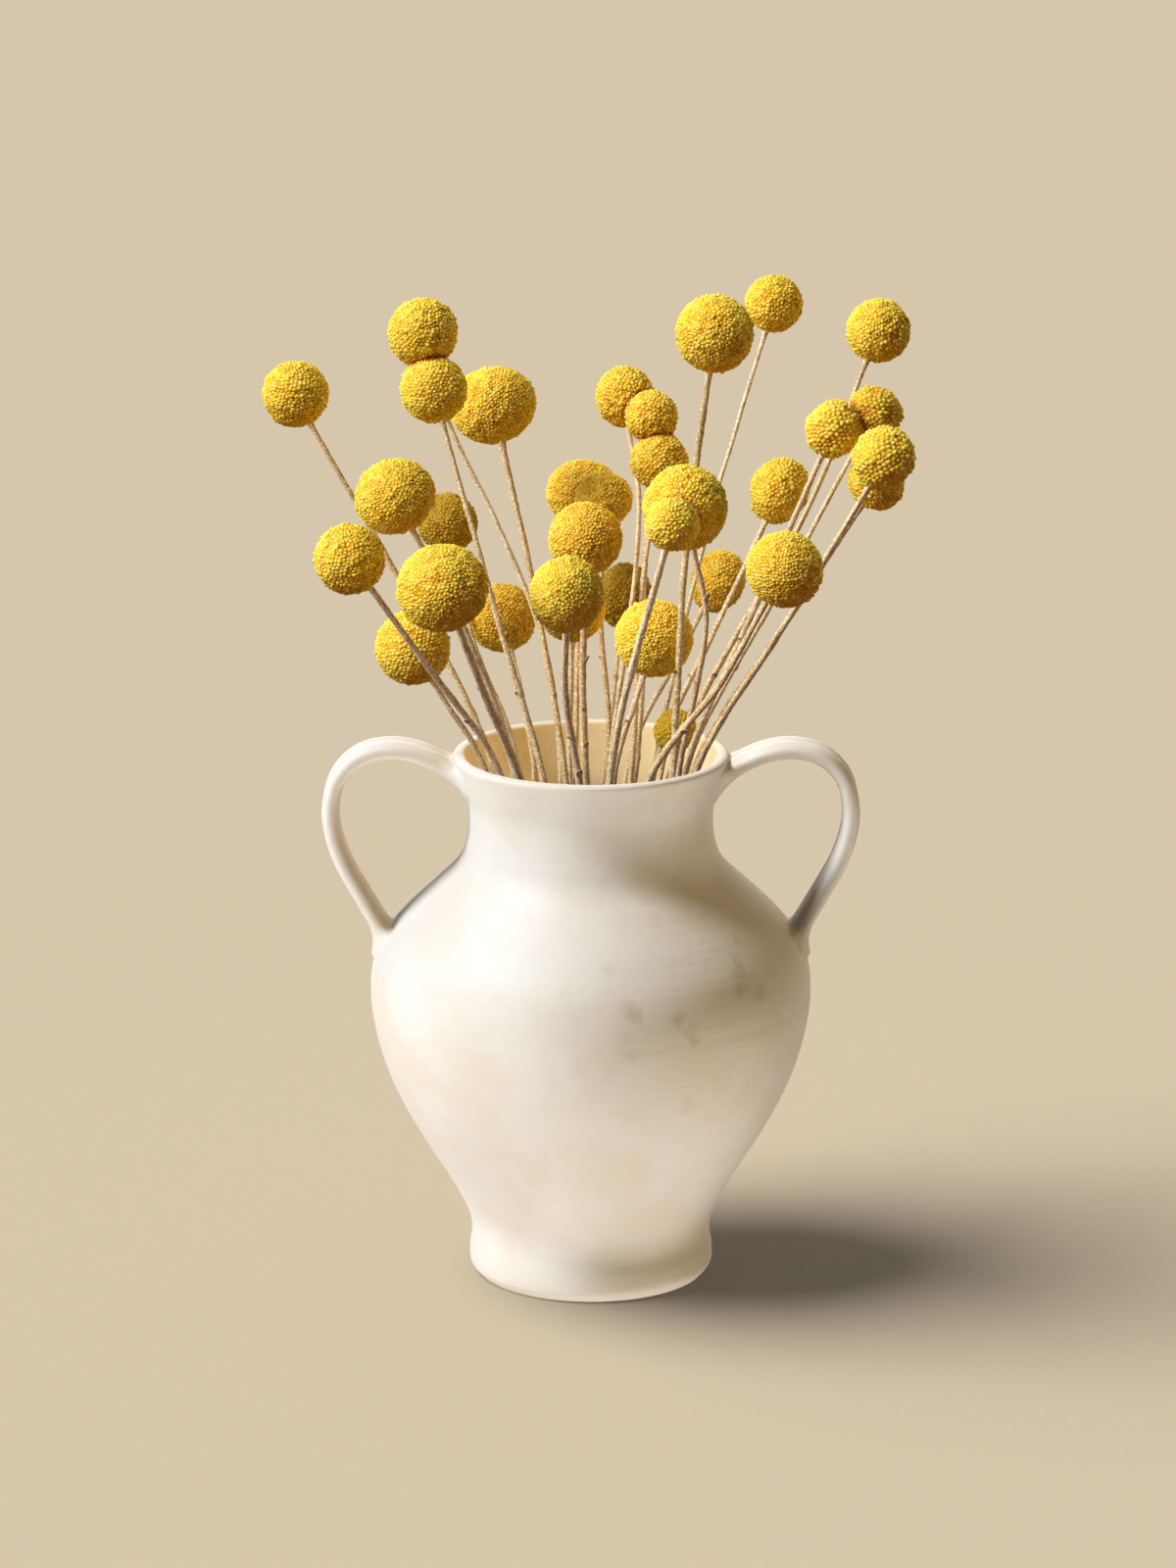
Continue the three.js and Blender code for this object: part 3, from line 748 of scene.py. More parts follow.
def stem_parts(shape, number):
    """A stem as points, triangles and numbers, its line, its radius and two ways across it."""
    own = np.random.default_rng(1000 + number)
    _, length = catmull_rom(shape["line"], 10, CENTRIPETAL)
    count = int(length / RING_STEP)
    line, _ = catmull_rom(shape["line"], count, CENTRIPETAL)
    tangent, across, through = frames_along(line, (1, 0, 0))
    t = np.linspace(0, 1, count)
    # The stem wanders in between, and keeps to its place at the foot and under the head.
    hold = np.clip(t * 12, 0, 1) * np.clip((1 - t) * 8, 0, 1)
    line = line + across * (wander(count, 16, WANDER, own) * hold)[:, None]
    line = line + through * (wander(count, 19, WANDER, own) * hold)[:, None]
    radius = shape["thick"] / 2 * (FOOT_WIDTH - TAPER * t) * (1 + wander(count, 5, SWELLING, own))
    to_top = (1 - t) * length
    radius += (COLLAR_WIDTH * shape["size"][0] - radius[-1]) * np.exp(-to_top / COLLAR_FLARE)
    angle = np.linspace(0, 2 * math.pi, STEM_SIDES, endpoint=False)
    scar = np.zeros((count, STEM_SIDES))
    for at in np.arange(own.uniform(10, SCAR_GAP), length - 14, SCAR_GAP):
        near = (t * length - at - own.uniform(-20, 20)) / own.uniform(0.8, 1.6)
        facing = np.clip(np.cos(angle - own.uniform(0, 6.3)), 0, 1) ** 1.5
        scar = np.maximum(scar, np.exp(-(near**2))[:, None] * facing[None, :])
    twist = (t * length * own.uniform(-0.012, 0.012))[:, None]
    ribs = 1 + RIB_DEPTH * np.cos(RIBS * angle + own.uniform(0, 6) + twist)
    ribs = ribs + OVAL_DEPTH * np.cos(2 * angle + own.uniform(0, 6) + 3 * twist)
    ribs = ribs + own.uniform(-DRY_SKIN, DRY_SKIN, (count, STEM_SIDES))
    r = radius[:, None] * ribs * (1 + SCAR_SWELL * scar)
    points = line[:, None, :] + across[:, None, :] * (r * np.cos(angle))[..., None]
    points = points + through[:, None, :] * (r * np.sin(angle))[..., None]
    ends = np.array([line[0] - tangent[0] * 0.05, line[-1] + tangent[-1] * 0.3])
    thin = int(HIDDEN_STEP / RING_STEP)
    keep = np.array([i for i in range(count)
                     if i % thin == 0 or line[i, 2] > HIDDEN_BELOW or i == count - 1])
    numbers = {
        "along": np.concatenate([np.repeat(t[keep] * length, STEM_SIDES), [0, length]]),
        "around": np.concatenate([np.tile(np.cos(angle), len(keep)), [0, 0]]),
        "around_too": np.concatenate([np.tile(np.sin(angle), len(keep)), [0, 0]]),
        "scar": np.concatenate([scar[keep].ravel(), [0, 0]]),
    }
    points = np.vstack([points[keep].reshape(-1, 3), ends])
    tube = points, rings_to_faces(len(keep), STEM_SIDES), numbers
    return tube, (line, radius, across, through)


tube, (line, *_) = stem_parts(shapes[0], 1)
print("the first stem has", len(line), "rings and", len(tube[1]), "triangles")

# %% [markdown]
# ## Wool and leaf scraps
# Two things break the clean outline of a dried stem: fibres of wool, a millimetre or so long, and
# the curled remains of small leaves. Hair particles would not be part of the mesh, so each fibre
# is a thin three-sided spike, and each scrap is a narrow blade with a real thickness that rolls
# up towards its tip.

# %% Wool
FIBRES_PER_MM = 1.5
FIBRE_WIDTH = 0.13
SHORTEST, LONGEST = 0.5, 1.7
FIBRE_SIDES = ((0, 1, 3), (1, 2, 3), (2, 0, 3), (0, 2, 1))


def fibres(line, radius, across, through, number):
    """Short woolly fibres that lean along the stem."""
    own = np.random.default_rng(2000 + number)
    step = np.linalg.norm(line[1] - line[0])
    first = int(np.argmax(line[:, 2] > HIDDEN_BELOW))
    count = int((len(line) - first) * step * FIBRES_PER_MM)
    at = own.integers(first, len(line) - 2, count)
    angle = own.uniform(0, 2 * math.pi, count)
    out = across[at] * np.cos(angle)[:, None] + through[at] * np.sin(angle)[:, None]
    up = unit(line[at + 1] - line[at - 1]) * own.choice([-1, 1], (count, 1))
    root = line[at] + out * radius[at][:, None] * 0.96
    size = own.uniform(SHORTEST, LONGEST, count)[:, None]
    lean = out * own.uniform(0.1, 0.45, (count, 1)) + up * own.uniform(0.6, 1, (count, 1))
    beside = unit(np.cross(out, up)) * FIBRE_WIDTH / 2
    base = [root + beside, root - beside, root + up * FIBRE_WIDTH]
    points = np.stack(base + [root + lean * size], 1).reshape(-1, 3)
    corner = np.arange(count)[:, None] * 4
    faces = np.concatenate([corner + np.array(side) for side in FIBRE_SIDES])
    numbers = {key: np.zeros(len(points)) for key in ("around", "around_too")}
    numbers["along"] = np.repeat(at * step, 4)
    numbers["scar"] = np.full(len(points), -1.0)
    return points, faces, numbers


print("about", round(FIBRES_PER_MM * 100), "fibres on 100 mm of stem")

# %% Leaf scraps
# For each stem, the height, the length and the turn round the stem of what is left of its leaves.
SCRAPS = {
    1: [(240, 4, 0.6)], 3: [(230, 5, 3.8)], 4: [(226, 4, 5.2), (296, 3, 0.4)], 5: [(262, 4, 2.4)],
    7: [(222, 5, 4.4), (236, 3, 1.2)], 8: [(243, 5, 3.2), (231, 4, 0.2), (214, 4, 4.6)],
    9: [(214, 4, 2.6)], 11: [(238, 5, 0.2)], 12: [(232, 4, 3.6)],
    13: [(244, 7, 5.8), (237, 5, 0.5), (226, 4, 4.9), (212, 5, 5.4)],
    14: [(206, 7, 5.2), (221, 4, 4.0)], 16: [(220, 5, 0.8)], 20: [(268, 7, 5.6), (235, 4, 3.4)],
    21: [(258, 4, 5.5), (216, 4, 0.8)], 22: [(216, 5, 4.1)],
    25: [(236, 6, 4.2), (262, 3, 0.7), (301, 3, 4.9)], 26: [(240, 4, 3.0)],
    27: [(228, 5, 5.0), (262, 4, 0.3)], 28: [(233, 5, 0.6)], 29: [(247, 4, 4.4)],
    30: [(219, 5, 0.9), (270, 4, 5.2)], 31: [(240, 4, 0.4)], 32: [(226, 5, 3.7)],
    33: [(222, 6, 5.0), (251, 4, 0.8)],
}
LEAF_THICKNESS = 0.16


def blade(root, out, up, length, width, curl, rows=9, columns=4):
    """A narrow closed leaf that starts along up and rolls back towards out."""
    s = np.linspace(0, 1, rows)
    bend = curl * s**1.4
    step = length / (rows - 1)
    way = up[None] * np.cos(bend)[:, None] + out[None] * np.sin(bend)[:, None]
    path = root + np.cumsum(way * step, 0) - up * step
    normal = out[None] * np.cos(bend)[:, None] - up[None] * np.sin(bend)[:, None]
    beside = unit(np.cross(out, up))
    # The blade is narrow at both ends, blunter at the root, and cupped across.
    half = width / 2 * np.sin(np.pi * (0.12 + 0.86 * s)) ** 0.7 + 0.04
    c = np.linspace(-1, 1, columns)
    cup = (1 - c**2)[None, :, None] * normal[:, None, :] * width * 0.22
    top = (path[:, None, :] + beside * (half[:, None] * c)[..., None] - cup
           + normal[:, None, :] * LEAF_THICKNESS / 2)
    bottom = top - normal[:, None, :] * LEAF_THICKNESS
    loop = np.concatenate([top, bottom[:, ::-1]], 1)
    points = np.vstack([loop.reshape(-1, 3), loop[0].mean(0), loop[-1].mean(0)])
    return points, outward(points - points.mean(0), rings_to_faces(rows, 2 * columns))


def scrap(line, radius, across, through, height, length, turn):
    """The dry remains of a leaf on the stem, at that height."""
    i = int(np.argmin(np.abs(line[:, 2] - height)))
    i = min(max(i, 2), len(line) - 3)
    out = unit(across[i] * math.cos(turn) + through[i] * math.sin(turn))
    up = unit(line[i + 1] - line[i - 1])
    root = line[i] + out * radius[i] * 0.8
    points, faces = blade(root, out, up, 0.6 * length, 0.4 * length, 0.2 + 0.14 * turn)
    numbers = {key: np.zeros(len(points)) for key in ("around", "around_too")}
    numbers["along"] = points[:, 2]
    numbers["scar"] = np.full(len(points), 0.25 + 0.13 * turn)
    return points, faces, numbers


print(sum(map(len, SCRAPS.values())), "leaf scraps on", len(SCRAPS), "stems")

# %% [markdown]
# ## The straw finish
# Dried stem is cellulose with a dull, waxy skin: rough, with an IOR of about 1.45. It is pale
# straw, with brown, green and, on some stems, lilac streaks that run along it, dark scars, and
# pale wool in the hollows of the ribs. Noise on the object's own coordinates would give spots.
# The streaks come from noise on the numbers around and along, where a millimetre along counts as
# a twentieth, so that each streak is long and thin and follows the bends of its stem.

# %% The straw finish
# The numbers around run on a circle of radius 1, so a streak's scale is radius over width.
STEM_RADIUS, STREAK_WIDTH, STREAK_STRETCH = 1.3, 0.45, 0.05
STEM_PATCHES, STEM_FLUFF = 9, 0.75


def straw():
    """Dried flower stem: matt, ribbed and streaked along its length."""
    finish, tree, _, patches, fluff = new_finish(
        "dried straw stem", (STEM_PATCHES, 3, 0.5), (STEM_FLUFF, 2, 0.6))
    along, around, around_too, scar, tone, tint = (
        add(tree, "Attribute", attribute_name=key).outputs["Fac"]
        for key in ("along", "around", "around_too", "scar", "tone", "tint"))
    stretched = add(tree, "Math", {0: along, 1: STREAK_STRETCH}, operation="MULTIPLY").outputs[0]
    own_place = add(tree, "CombineXYZ", {0: around, 1: around_too, 2: stretched}).outputs[0]
    own_start = add(tree, "CombineXYZ", {0: tone, 1: tint}).outputs[0]
    own_place = add(tree, "VectorMath", {0: own_place, 1: own_start}, operation="ADD").outputs[0]
    streaks = add(tree, "TexNoise", {"Vector": own_place, "Scale": STEM_RADIUS / STREAK_WIDTH,
                                     "Detail": 4, "Roughness": 0.6}).outputs["Fac"]
    colour = with_coats(tree, linear("#F8EBC8"),
                        (tone, 0.0, 1.0, 1.0, "#DDBB82"),
                        (tint, 0.0, 1.0, 0.45, "#D9BDB0"),
                        (tint, 0.0, -1.0, 0.55, "#B0A770"),
                        (streaks, 0.48, 0.62, 0.65, "#AC834C"),
                        (patches, 0.50, 0.68, 0.4, "#B08046"),
                        (fluff, 0.46, 0.34, 0.7, "#99703C"),
                        (fluff, 0.54, 0.64, 0.85, "#FFF9E8"),
                        (scar, 0.25, 1.0, 0.7, "#7A5630"),
                        (scar, -0.4, -0.9, 0.9, "#F8F0DA"))
    close_finish(tree, colour, [(streaks, 0.8, 0.3), (fluff, 0.8, 0.3)], {
        "Roughness": 0.78, "IOR": 1.45, "Sheen Weight": 0.25, "Sheen Roughness": 0.5,
        "Sheen Tint": linear("#FFF4DA"),
    })
    return finish


straw_finish = straw()
print(straw_finish.name, "has", len(straw_finish.node_tree.nodes), "nodes")

# %% [markdown]
# ## All the stems
# No two stems dry alike. tone runs from 0, pale, to 1, brown straw, and tint from -1, green, to
# 1, lilac. Stems that stand out have values of their own, and the others get random ones. Each
# stem is one closed tube with its wool and scraps, and stands for its solid.

# %% All the stems
STEM_TONES = {8: 0.1, 21: 0.1, 2: 0.15, 26: 0.1, 4: 0.75, 12: 0.95, 11: 0.9, 25: 0.55, 31: 0.8,
              14: 0.3, 1: 0.75}
STEM_TINTS = {7: 0.8, 20: 0.9, 25: -0.7, 8: -0.1, 5: -0.5, 22: 0.5, 16: 0.4, 29: 0.4, 3: -0.6,
              12: 0.2, 14: 0.35}

rng = np.random.default_rng(33)
stems = []
for number, shape in enumerate(shapes, 1):
    tube, way = stem_parts(shape, number)
    parts = [tube, fibres(*way, number)] + [scrap(*way, *at) for at in SCRAPS.get(number, [])]
    points, faces, numbers = stack(parts)
    numbers["tone"] = np.full(len(points), STEM_TONES.get(number, 0.25 + 0.5 * rng.random()))
    numbers["tint"] = np.full(len(points), STEM_TINTS.get(number, 0.6 * rng.random() - 0.35))
    piece = make_piece(f"straw_{number:02d}", points, [faces], [straw_finish], numbers)
    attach(piece, "root")
    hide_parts(f"stem_{number:02d}")
    stems.append(piece)
print("stems", sum(len(piece.data.polygons) for piece in stems), "triangles")

# %% [markdown]
# ## The flower heads
# A billy button has no petals to speak of. Its ball is packed with several hundred florets, each
# a tiny closed tube that shows as a round bead, in the spiral order in which plants set their
# florets. Instancing a bead over a sphere would leave the beads overlapping, with most of their
# triangles out of sight. Here the ball is one closed skin: points set in the spiral are the
# middles of the florets, the corners between three neighbours are pushed in to make the pits, and
# each floret rises from its corners over one ring to a round top. Its own height, and a slow
# swell that it shares with its neighbours, make the groups that stand out on a dried head.

# %% Florets in a spiral
GOLDEN_ANGLE = math.pi * (3 - math.sqrt(5))


def spiral(count, jitter, own):
    """Directions of count florets in a spiral from the top of the ball to the stem, and the gap
    between them."""
    i = np.arange(count)
    up = 1 - (2 * i + 1) / count
    angle = i * GOLDEN_ANGLE
    out = np.sqrt(1 - up**2)
    sites = np.stack([out * np.cos(angle), out * np.sin(angle), up], 1)
    gap = math.sqrt(4 * math.pi / count)
    return unit(sites + own.normal(0, jitter * gap, sites.shape)), gap


print("each floret stands", round(math.degrees(GOLDEN_ANGLE), 1), "degrees on from the last")


# %% Neighbouring florets
def neighbours(sites):
    """The triangles between neighbouring directions, which are the faces of their convex hull."""
    hull = bmesh.new()
    for site in sites:
        hull.verts.new(site)
    hull.verts.index_update()
    bmesh.ops.convex_hull(hull, input=hull.verts)
    faces = np.array([[v.index for v in f.verts] for f in hull.faces if len(f.verts) == 3])
    hull.free()
    a, b, c = (sites[faces[:, i]] for i in range(3))
    flip = np.sum(np.cross(b - a, c - a) * a, 1) < 0
    faces[flip] = faces[flip][:, ::-1]
    return faces


def fans(sites, corners, triangles):
    """The corners round each site, in order: rows of site, corner, and the row of the following
    corner."""
    site = triangles.ravel()
    corner = np.repeat(np.arange(len(triangles)), 3)
    pole = np.where(np.abs(sites[:, 2:]) > 0.9, [[1.0, 0, 0]], [[0, 0, 1.0]])
    east = unit(np.cross(pole, sites))
    north = np.cross(sites, east)
    angle = np.arctan2(np.sum(corners[corner] * north[site], 1),
                       np.sum(corners[corner] * east[site], 1))
    order = np.lexsort((angle, site))
    site, corner = site[order], corner[order]
    following = np.arange(len(site)) + 1
    last = np.searchsorted(site, np.arange(len(sites)), side="right") - 1
    following[last] = np.searchsorted(site, np.arange(len(sites)))
    return site, corner, following


sample, sample_gap = spiral(500, 0, np.random.default_rng(0))
print("between 500 florets there are", len(neighbours(sample)), "pits")

# %% The skin of florets
# Depths are in shares of the gap between florets, and the ring's width in shares of a floret's.
PIT_DEPTH, PIT_DEEPER = 0.37, 0.5
RING_WIDTH, RING_DEPTH = 0.65, 0.17


def floret_skin(sites, gap, lift, own):
    """A closed skin of florets on a ball of radius 1: points, triangles, and for each point its
    depth, from 0, deep, to 1, high, and its floret."""
    triangles = neighbours(sites)
    corners = unit(sites[triangles].sum(1))
    site, corner, following = fans(sites, corners, triangles)
    pit = PIT_DEPTH + PIT_DEEPER * own.random(len(triangles)) ** 2.5
    width = RING_WIDTH * own.uniform(0.84, 1.1, (len(site), 1))
    fall = RING_DEPTH + own.uniform(-0.09, 0.09, len(site))
    way = unit(sites[site] * (1 - width) + corners[corner] * width)
    points = np.vstack([corners * (1 + lift[triangles].mean(1) - pit * gap)[:, None],
                        way * (1 + lift[site] - fall * gap)[:, None],
                        sites * (1 + lift)[:, None]])
    depth = np.concatenate([1 - pit * 1.4, 1 - fall, np.ones(len(sites))])
    owner = np.concatenate([triangles[:, 0], site, np.arange(len(sites))])
    ring = len(corners) + np.arange(len(site))
    top = len(corners) + len(site) + site
    a, b, c, d = corner, corner[following], ring[following], ring
    faces = np.concatenate([np.stack(face, 1) for face in ((a, b, c), (a, c, d), (d, c, top))])
    return points, faces, depth, owner


skin = floret_skin(sample, sample_gap, np.zeros(500), np.random.default_rng(0))
print("500 florets make", len(skin[1]), "triangles")

# %% [markdown]
# ## A ball in its place
# Real balls are not perfect spheres. Each gets a slow swell of a few hundredths of its radius and
# its own florets. The tips of the florets stand out of the flat faces of its solid, so the ball
# is 4.5 % larger than that, and where it would leave the box of the whole solid model it is moved
# back inside. Heads that press on each other in the bunch are made as one piece, as in the solid
# model. A Boolean between two such skins would be slow and ragged, so they pass into each other,
# and the florets near the crease are darkened, as no light gets there.

# %% Turns and swells
def basis(axis, turn):
    """Three directions with the last along axis, turned round it."""
    side = unit(np.cross((0, 1, 0) if abs(axis[1]) < 0.9 else (1, 0, 0), axis))
    other = np.cross(axis, side)
    return np.stack([side * math.cos(turn) + other * math.sin(turn),
                     other * math.cos(turn) - side * math.sin(turn), axis])


def waves(ways, pace, count, own):
    """A smooth random value from about -1 to 1 for each direction. It changes faster with a
    higher pace."""
    total = np.zeros(len(ways))
    for _ in range(count):
        crest = unit(own.normal(0, 1, 3)) * pace * own.uniform(0.6, 1.4)
        total += np.sin(ways @ crest + own.uniform(0, 6))
    return total / math.sqrt(count)


print("a swell reaches", waves(sample, 2, 5, np.random.default_rng(0)).max().round(2))

# %% A ball in its place
SWOLLEN = 1.045
# The area of a floret's six-sided place, over its spacing squared.
FLORET_SHAPE = 0.866
UNEVEN, UNEVEN_COARSE, COARSE_FROM = 0.20, 0.12, 1.7
LIFT = 0.12
CLUSTER_PACE, CLUSTER_WAVES = 1.9, 7
DENT, DENT_PACE, DENT_WAVES = 0.012, 2.2, 4


def back_inside(points):
    """The step that brings a ball back inside the solid model's box, where it stands out."""
    low, high = (np.array(corner) / MM for corner in cad_box)
    return np.maximum(low - points.min(0), 0) - np.maximum(points.max(0) - high, 0)


def ball_parts(shape, number):
    """The florets of one head as points, triangles and numbers."""
    own = np.random.default_rng(3000 + number)
    size, spacing = shape["size"], shape["spacing"]
    ball = (size[0] ** 2 * size[2]) ** (1 / 3)
    count = int(4 * math.pi * ball**2 / (FLORET_SHAPE * spacing**2))
    sites, gap = spiral(count, UNEVEN if spacing < COARSE_FROM else UNEVEN_COARSE, own)
    clusters = waves(sites, CLUSTER_PACE * ball / spacing, CLUSTER_WAVES, own)
    lift = (LIFT * clusters + own.normal(0, LIFT, count) - LIFT) * gap
    points, faces, depth, owner = floret_skin(sites, gap, lift, own)
    dents = 1 - DENT * (1 + waves(unit(points), DENT_PACE, DENT_WAVES, own))
    points = points * dents[:, None] * size * SWOLLEN
    # Lower florets get a lower depth number, and so the darker colours of the pits: partly their
    # own colour, partly painted shade.
    numbers = {
        "depth": np.clip(depth + 0.8 * (lift[owner] / gap + LIFT), 0, 1),
        "tone": own.uniform(-1, 1, count)[owner],
        "ripeness": np.full(len(points), shape["ripeness"]),
        "painted_shade": np.full(len(points), shape["painted_shade"]),
    }
    points = points @ basis(shape["axis"], number * GOLDEN_ANGLE) + shape["middle"]
    return points + back_inside(points), faces, numbers


ball, faces, _ = ball_parts(shapes[0], 1)
print("the first ball has", len(faces), "triangles and is", np.ptp(ball, 0).round(1), "mm")

# %% Dark creases
CREASE_WIDTH = 2.2


def darken_creases(points, numbers, others):
    """Lowers the depth number where a ball meets one that it is pressed on."""
    for other in others:
        away = points - other["middle"]
        along = away @ other["axis"]
        across = np.sqrt(np.maximum(np.sum(away**2, 1) - along**2, 0))
        reach = np.hypot(across / other["size"][0], along / other["size"][2]) / SWOLLEN
        clear = (reach - 1) * other["size"][0] / CREASE_WIDTH
        numbers["depth"] = numbers["depth"] * np.clip(clear, 0.0, 1.0)


ball, _, numbers = ball_parts(shapes[2], 3)
darken_creases(ball, numbers, [shapes[1]])
print("the third ball has", int((numbers["depth"] == 0).sum()), "points in the dark of its crease")

# %% [markdown]
# ## The bracts
# Under each ball, where the stem enters, sits a ring of small papery leaves. They are the same
# curled blade as the leaf scraps, shorter and set close under the ball. A painted ring would be
# less work, but its edge would not stand off the ball.

# %% The bracts
BRACTS = 9
BRACT_RING, BRACT_ROOT = 0.15, 0.985
BRACT_SHORTEST, BRACT_LONGEST = 0.16, 0.26
BRACT_CURL = -0.35


def bract_parts(shape, number):
    """The ring of small papery leaves under a head."""
    own = np.random.default_rng(4000 + number)
    turned = basis(shape["axis"], own.uniform(0, 6))
    below = -turned[2]
    parts = []
    for k in range(BRACTS):
        angle = 2 * math.pi * (k + own.uniform(-0.2, 0.2)) / BRACTS
        polar = BRACT_RING + own.uniform(-0.02, 0.03)
        side = turned[0] * math.cos(angle) + turned[1] * math.sin(angle)
        way = below * math.cos(polar) + side * math.sin(polar)
        outwards = side * math.cos(polar) - below * math.sin(polar)
        root = shape["middle"] + (way @ turned.T * shape["size"]) @ turned * BRACT_ROOT
        length = shape["size"][0] * own.uniform(BRACT_SHORTEST, BRACT_LONGEST)
        points, faces = blade(root, way, outwards, length, length * 0.5, BRACT_CURL, rows=6)
        numbers = {key: np.full(len(points), 0.5) for key in ("depth", "tone", "ripeness", "painted_shade")}
        parts.append((points, faces, numbers))
    return stack(parts)


print(BRACTS, "bracts make", len(bract_parts(shapes[0], 1)[1]), "triangles")

# %% [markdown]
# ## The floret finish
# Dried florets are dyed through by their own pigment and covered with pollen and fine lobes. They
# have no gloss: the roughness is high, and a weak sheen stands for the fuzz that lights up at the
# edge of each ball. Light goes through the thin tubes, so the grooves glow amber rather than black.
# One colour for the whole ball would look like plastic. Here the depth number mixes groove, side
# and top: the darker groove and side colours are partly the florets' own deeper colour and partly
# painted shade in the pits, and a pale coat on the highest tops is a painted highlight. The
# ripeness number moves the hue from green to orange, and a brown coat paints shade on heads that
# sit behind others.

# %% The floret finish
# Real lobes are a quarter of a millimetre. They are drawn twice as coarse, or they would not show.
LOBE_SIZE = 0.55
FLORET_CLOUDS = 7
BRACT_GRAIN = 0.8


def florets():
    """Dried florets: matt yellow with pale lobes, and amber in the grooves, which is partly their
    own colour and partly painted shade, with a painted highlight on their tops and painted brown
    shade on heads that sit behind others.
    """
    finish, tree, _, lobes, clouds = new_finish(
        "dried yellow florets", (LOBE_SIZE, 3, 0.65), (FLORET_CLOUDS, 3, 0.5))
    depth, tone, ripe, painted_shade = (
        add(tree, "Attribute", attribute_name=key).outputs["Fac"]
        for key in ("depth", "tone", "ripeness", "painted_shade"))
    top = with_coats(tree, linear("#FFE430"),
                     (ripe, 0.5, 0.0, 1.0, "#FAEA46"), (ripe, 0.5, 1.0, 1.0, "#F6BE20"))
    side = with_coats(tree, linear("#E8AE10"), (ripe, 0.2, 0.9, 1.0, "#DE8E08"))
    groove = with_coats(tree, linear("#B4740C"), (ripe, 0.1, 0.9, 1.0, "#A4600A"))
    # Groove and side colours low between the florets are partly their own deeper colour and partly
    # painted shade in the pits.
    colour = with_coats(tree, groove,
                        (depth, 0.0, 0.45, 1.0, side),
                        (depth, 0.45, 0.92, 1.0, top),
                        # A pale coat on the highest tops is a painted highlight.
                        (depth, 0.75, 1.0, 0.4, "#FFEC74"),
                        (tone, 0.1, 1.0, 0.35, "#FFEE6A"),
                        (tone, -0.3, -1.0, 0.22, "#DE9C14"),
                        (clouds, 0.55, 0.75, 0.1, "#DA9A14"),
                        (lobes, 0.52, 0.68, 0.8, "#FFF8C4"),
                        (lobes, 0.45, 0.30, 0.45, "#C88A08"),
                        # The brown coat is painted shade on heads that sit in the shade of others.
                        (painted_shade, 0.0, 1.0, 0.75, "#7A5410"))
    close_finish(tree, colour, [(lobes, 0.8, 0.3)], {
        "Roughness": 0.85, "IOR": 1.4, "Specular IOR Level": 0.1,
        "Sheen Weight": 0.07, "Sheen Roughness": 0.4, "Sheen Tint": linear("#FFE070"),
        "Subsurface Weight": 0.2, "Subsurface Radius": (1.0, 0.6, 0.1),
        "Subsurface Scale": 1.2 * MM,
    })
    return finish


def bract_paper():
    """Papery bracts under a head: matt and pale, with a green cast."""
    finish, tree, _, grain = new_finish("papery dried bract", (BRACT_GRAIN, 3, 0.5))
    colour = with_coats(tree, linear("#CDBE7C"), (grain, 0.3, 0.7, 1.0, "#A89448"))
    close_finish(tree, colour, [(grain, 0.4, 0.2)], {"Roughness": 0.8, "IOR": 1.45})
    return finish


head_finishes = [florets(), bract_paper()]
print(" and ".join(finish.name for finish in head_finishes), "are ready")

# %% [markdown]
# ## All the heads
# Every head or pressed group becomes one piece that stands for its solid. Balls and bracts are
# joined in one mesh with two finishes, because a piece for each bract would be hundreds more.

# %% All the heads
pressed = {number for group in PRESSED_HEADS for number in group}
alone = [(number,) for number in range(1, len(shapes) + 1) if number not in pressed]
heads = []
for group in alone + PRESSED_HEADS:
    balls = [ball_parts(shapes[number - 1], number) for number in group]
    for number, (points, _, numbers) in zip(group, balls):
        others = [shapes[other - 1] for other in group if other != number]
        darken_creases(points, numbers, others)
    bracts = [bract_parts(shapes[number - 1], number) for number in group]
    points, faces, numbers = stack(balls + bracts)
    bract_faces = sum(len(part[1]) for part in bracts)
    which = np.concatenate([np.zeros(len(faces) - bract_faces), np.ones(bract_faces)])
    label = "_".join(f"{number:02d}" for number in group)
    piece = make_piece(f"florets_{label}", points, [faces], head_finishes, numbers, which)
    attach(piece, "root")
    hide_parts(f"flower_heads_{label}" if len(group) > 1 else f"flower_head_{label}")
    heads.append(piece)
print("heads", sum(len(piece.data.polygons) for piece in heads), "triangles in", len(heads),
      "pieces")

# %% [markdown]
# ## Floor and light
# The object stands on a plain cream sweep that fills the view. One big window on the left, a
# little to the front, would light everything, but then the front flowers shade the ones behind
# them, and the sweep is brighter on one side. In a studio, each of those is put right with cards
# and flags. Here each part has suns of its own, by light linking: the vase, the front flowers,
# the back row, the stems and the sweep. Floor and vase throw no light back, which would fill the
# dark sides of the balls, and the floor throws no shadow. Cards below the view and on the right
# light the vase alone, a weak light from behind on the right edges the flowers, and a glow from
# below stands for the light that they give each other. The back card lights what the front lamps
# leave dark, for someone who walks round the object. Suns are used, as a lamp this near would
# brighten one corner.

# %% Floor
FLOOR_SIZE = 30
PAPER_TOOTH = 2


def cream_paper():
    """Matte backdrop paper: no gloss at all, and a faint tooth."""
    finish, tree, _, tooth = new_finish("matte cream backdrop paper", (PAPER_TOOTH, 2, 0.5))
    colour = with_coats(tree, linear("#DFCFB4"), (tooth, 0.0, 1.0, 1.0, "#E3D3B8"))
    close_finish(tree, colour, [], {"Roughness": 0.95, "Specular IOR Level": 0.0})
    return finish


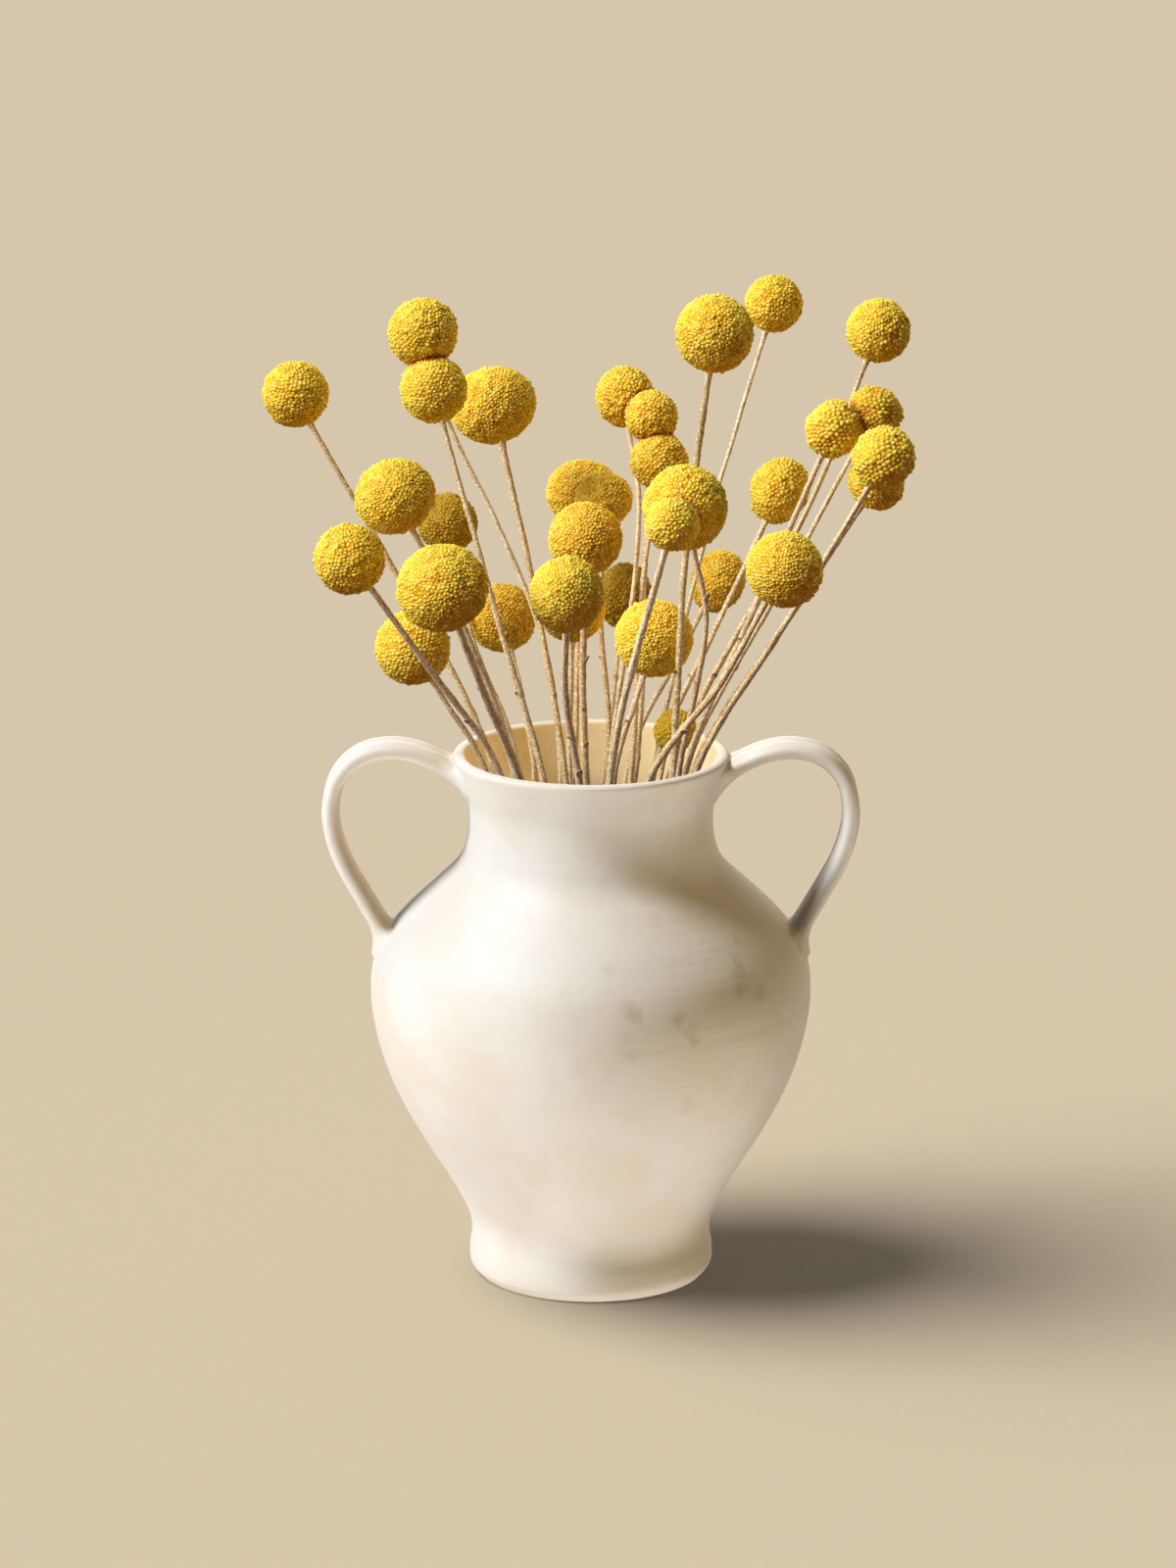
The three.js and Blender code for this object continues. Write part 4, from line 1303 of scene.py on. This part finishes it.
half = FLOOR_SIZE / 2 / MM
corners = np.array([(-half, -half, 0), (half, -half, 0), (half, half, 0), (-half, half, 0)])
floor = make_piece("backdrop", corners, [np.array([(0, 1, 2, 3)])], [cream_paper()])
floor.visible_diffuse = False
floor.visible_shadow = False
vase.visible_diffuse = False
print("floor", FLOOR_SIZE, "m wide")

# %% Light
BACK_ROW = ("04", "09", "11_12", "22", "23", "28_29")
back_row = [piece for piece in heads if piece.name.removeprefix("florets_") in BACK_ROW]
front_row = [piece for piece in heads if piece not in back_row]
flowers = stems + heads
# Each sun: azimuth, with 0 on the camera's side and 90 on the right, elevation, strength, angle,
# colour, what it falls on, and what throws its shadow. The floor, which throws none, is named
# there for a sun without a shadow, and with None everything throws one.
SUNS = {
    "window": (-81, 48, 3.7, 18, "#FEFFFF", [vase], [vase]),
    "low card": (-30, -40, 1.9, 30, "#FFF4E4", [vase], [vase]),
    "floor card": (-60, -65, 1.03, 30, "#FFEEDA", [vase], [vase]),
    "right card": (90, -40, 0.82, 30, "#FFECDB", [vase], [floor]),
    "warm wall": (60, 30, 0.7, 30, "#FFD37C", [vase], [floor]),
    "flower window": (-70, 42, 4.8, 42, "#FFFCF2", front_row, None),
    "back row window": (-70, 42, 4.8, 42, "#FFFCF2", back_row, back_row),
    "stem window": (-70, 42, 5.2, 42, "#FFFCF2", stems, stems + [vase]),
    "sweep light": (-89, 52, 3.0, 47, "#FFFEFB", [floor], None),
    "sweep fill": (0, 80, 0.32, 120, "#F6F9FF", [floor], None),
    "glow": (10, -40, 0.38, 90, "#FF9434", flowers, None),
    "edge": (118, 14, 1.2, 40, "#FFE6BC", flowers, None),
    "back card": (180, -4, 1.9, 50, "#FFF6EA", flowers + [vase], None),
}
ROOM_COLOUR, ROOM_STRENGTH = "#F6F9FF", 0.055


def group_of(name, pieces):
    """A collection of pieces."""
    group = bpy.data.collections.new(name)
    for piece in pieces:
        group.objects.link(piece)
    return group


for name, (azimuth, elevation, strength, angle, colour, lit, shaded_by) in SUNS.items():
    lamp = bpy.data.lights.new(name, "SUN")
    lamp.energy = strength
    lamp.angle = math.radians(angle)
    lamp.color = linear(colour)[:3]
    sun = bpy.data.objects.new(name, lamp)
    sun.rotation_euler = (math.radians(90 - elevation), 0, math.radians(azimuth))
    bpy.context.scene.collection.objects.link(sun)
    sun.light_linking.receiver_collection = group_of("lit by " + name, lit)
    if shaded_by:
        sun.light_linking.blocker_collection = group_of("in the way of " + name, shaded_by)

world = bpy.data.worlds.new("room")
world.use_nodes = True
bpy.context.scene.world = world
background = world.node_tree.nodes["Background"]
background.inputs["Color"].default_value = linear(ROOM_COLOUR)
background.inputs["Strength"].default_value = ROOM_STRENGTH
bpy.context.scene.view_settings.view_transform = "Standard"
print(len(SUNS), "suns,", len(back_row), "pieces in the back row")
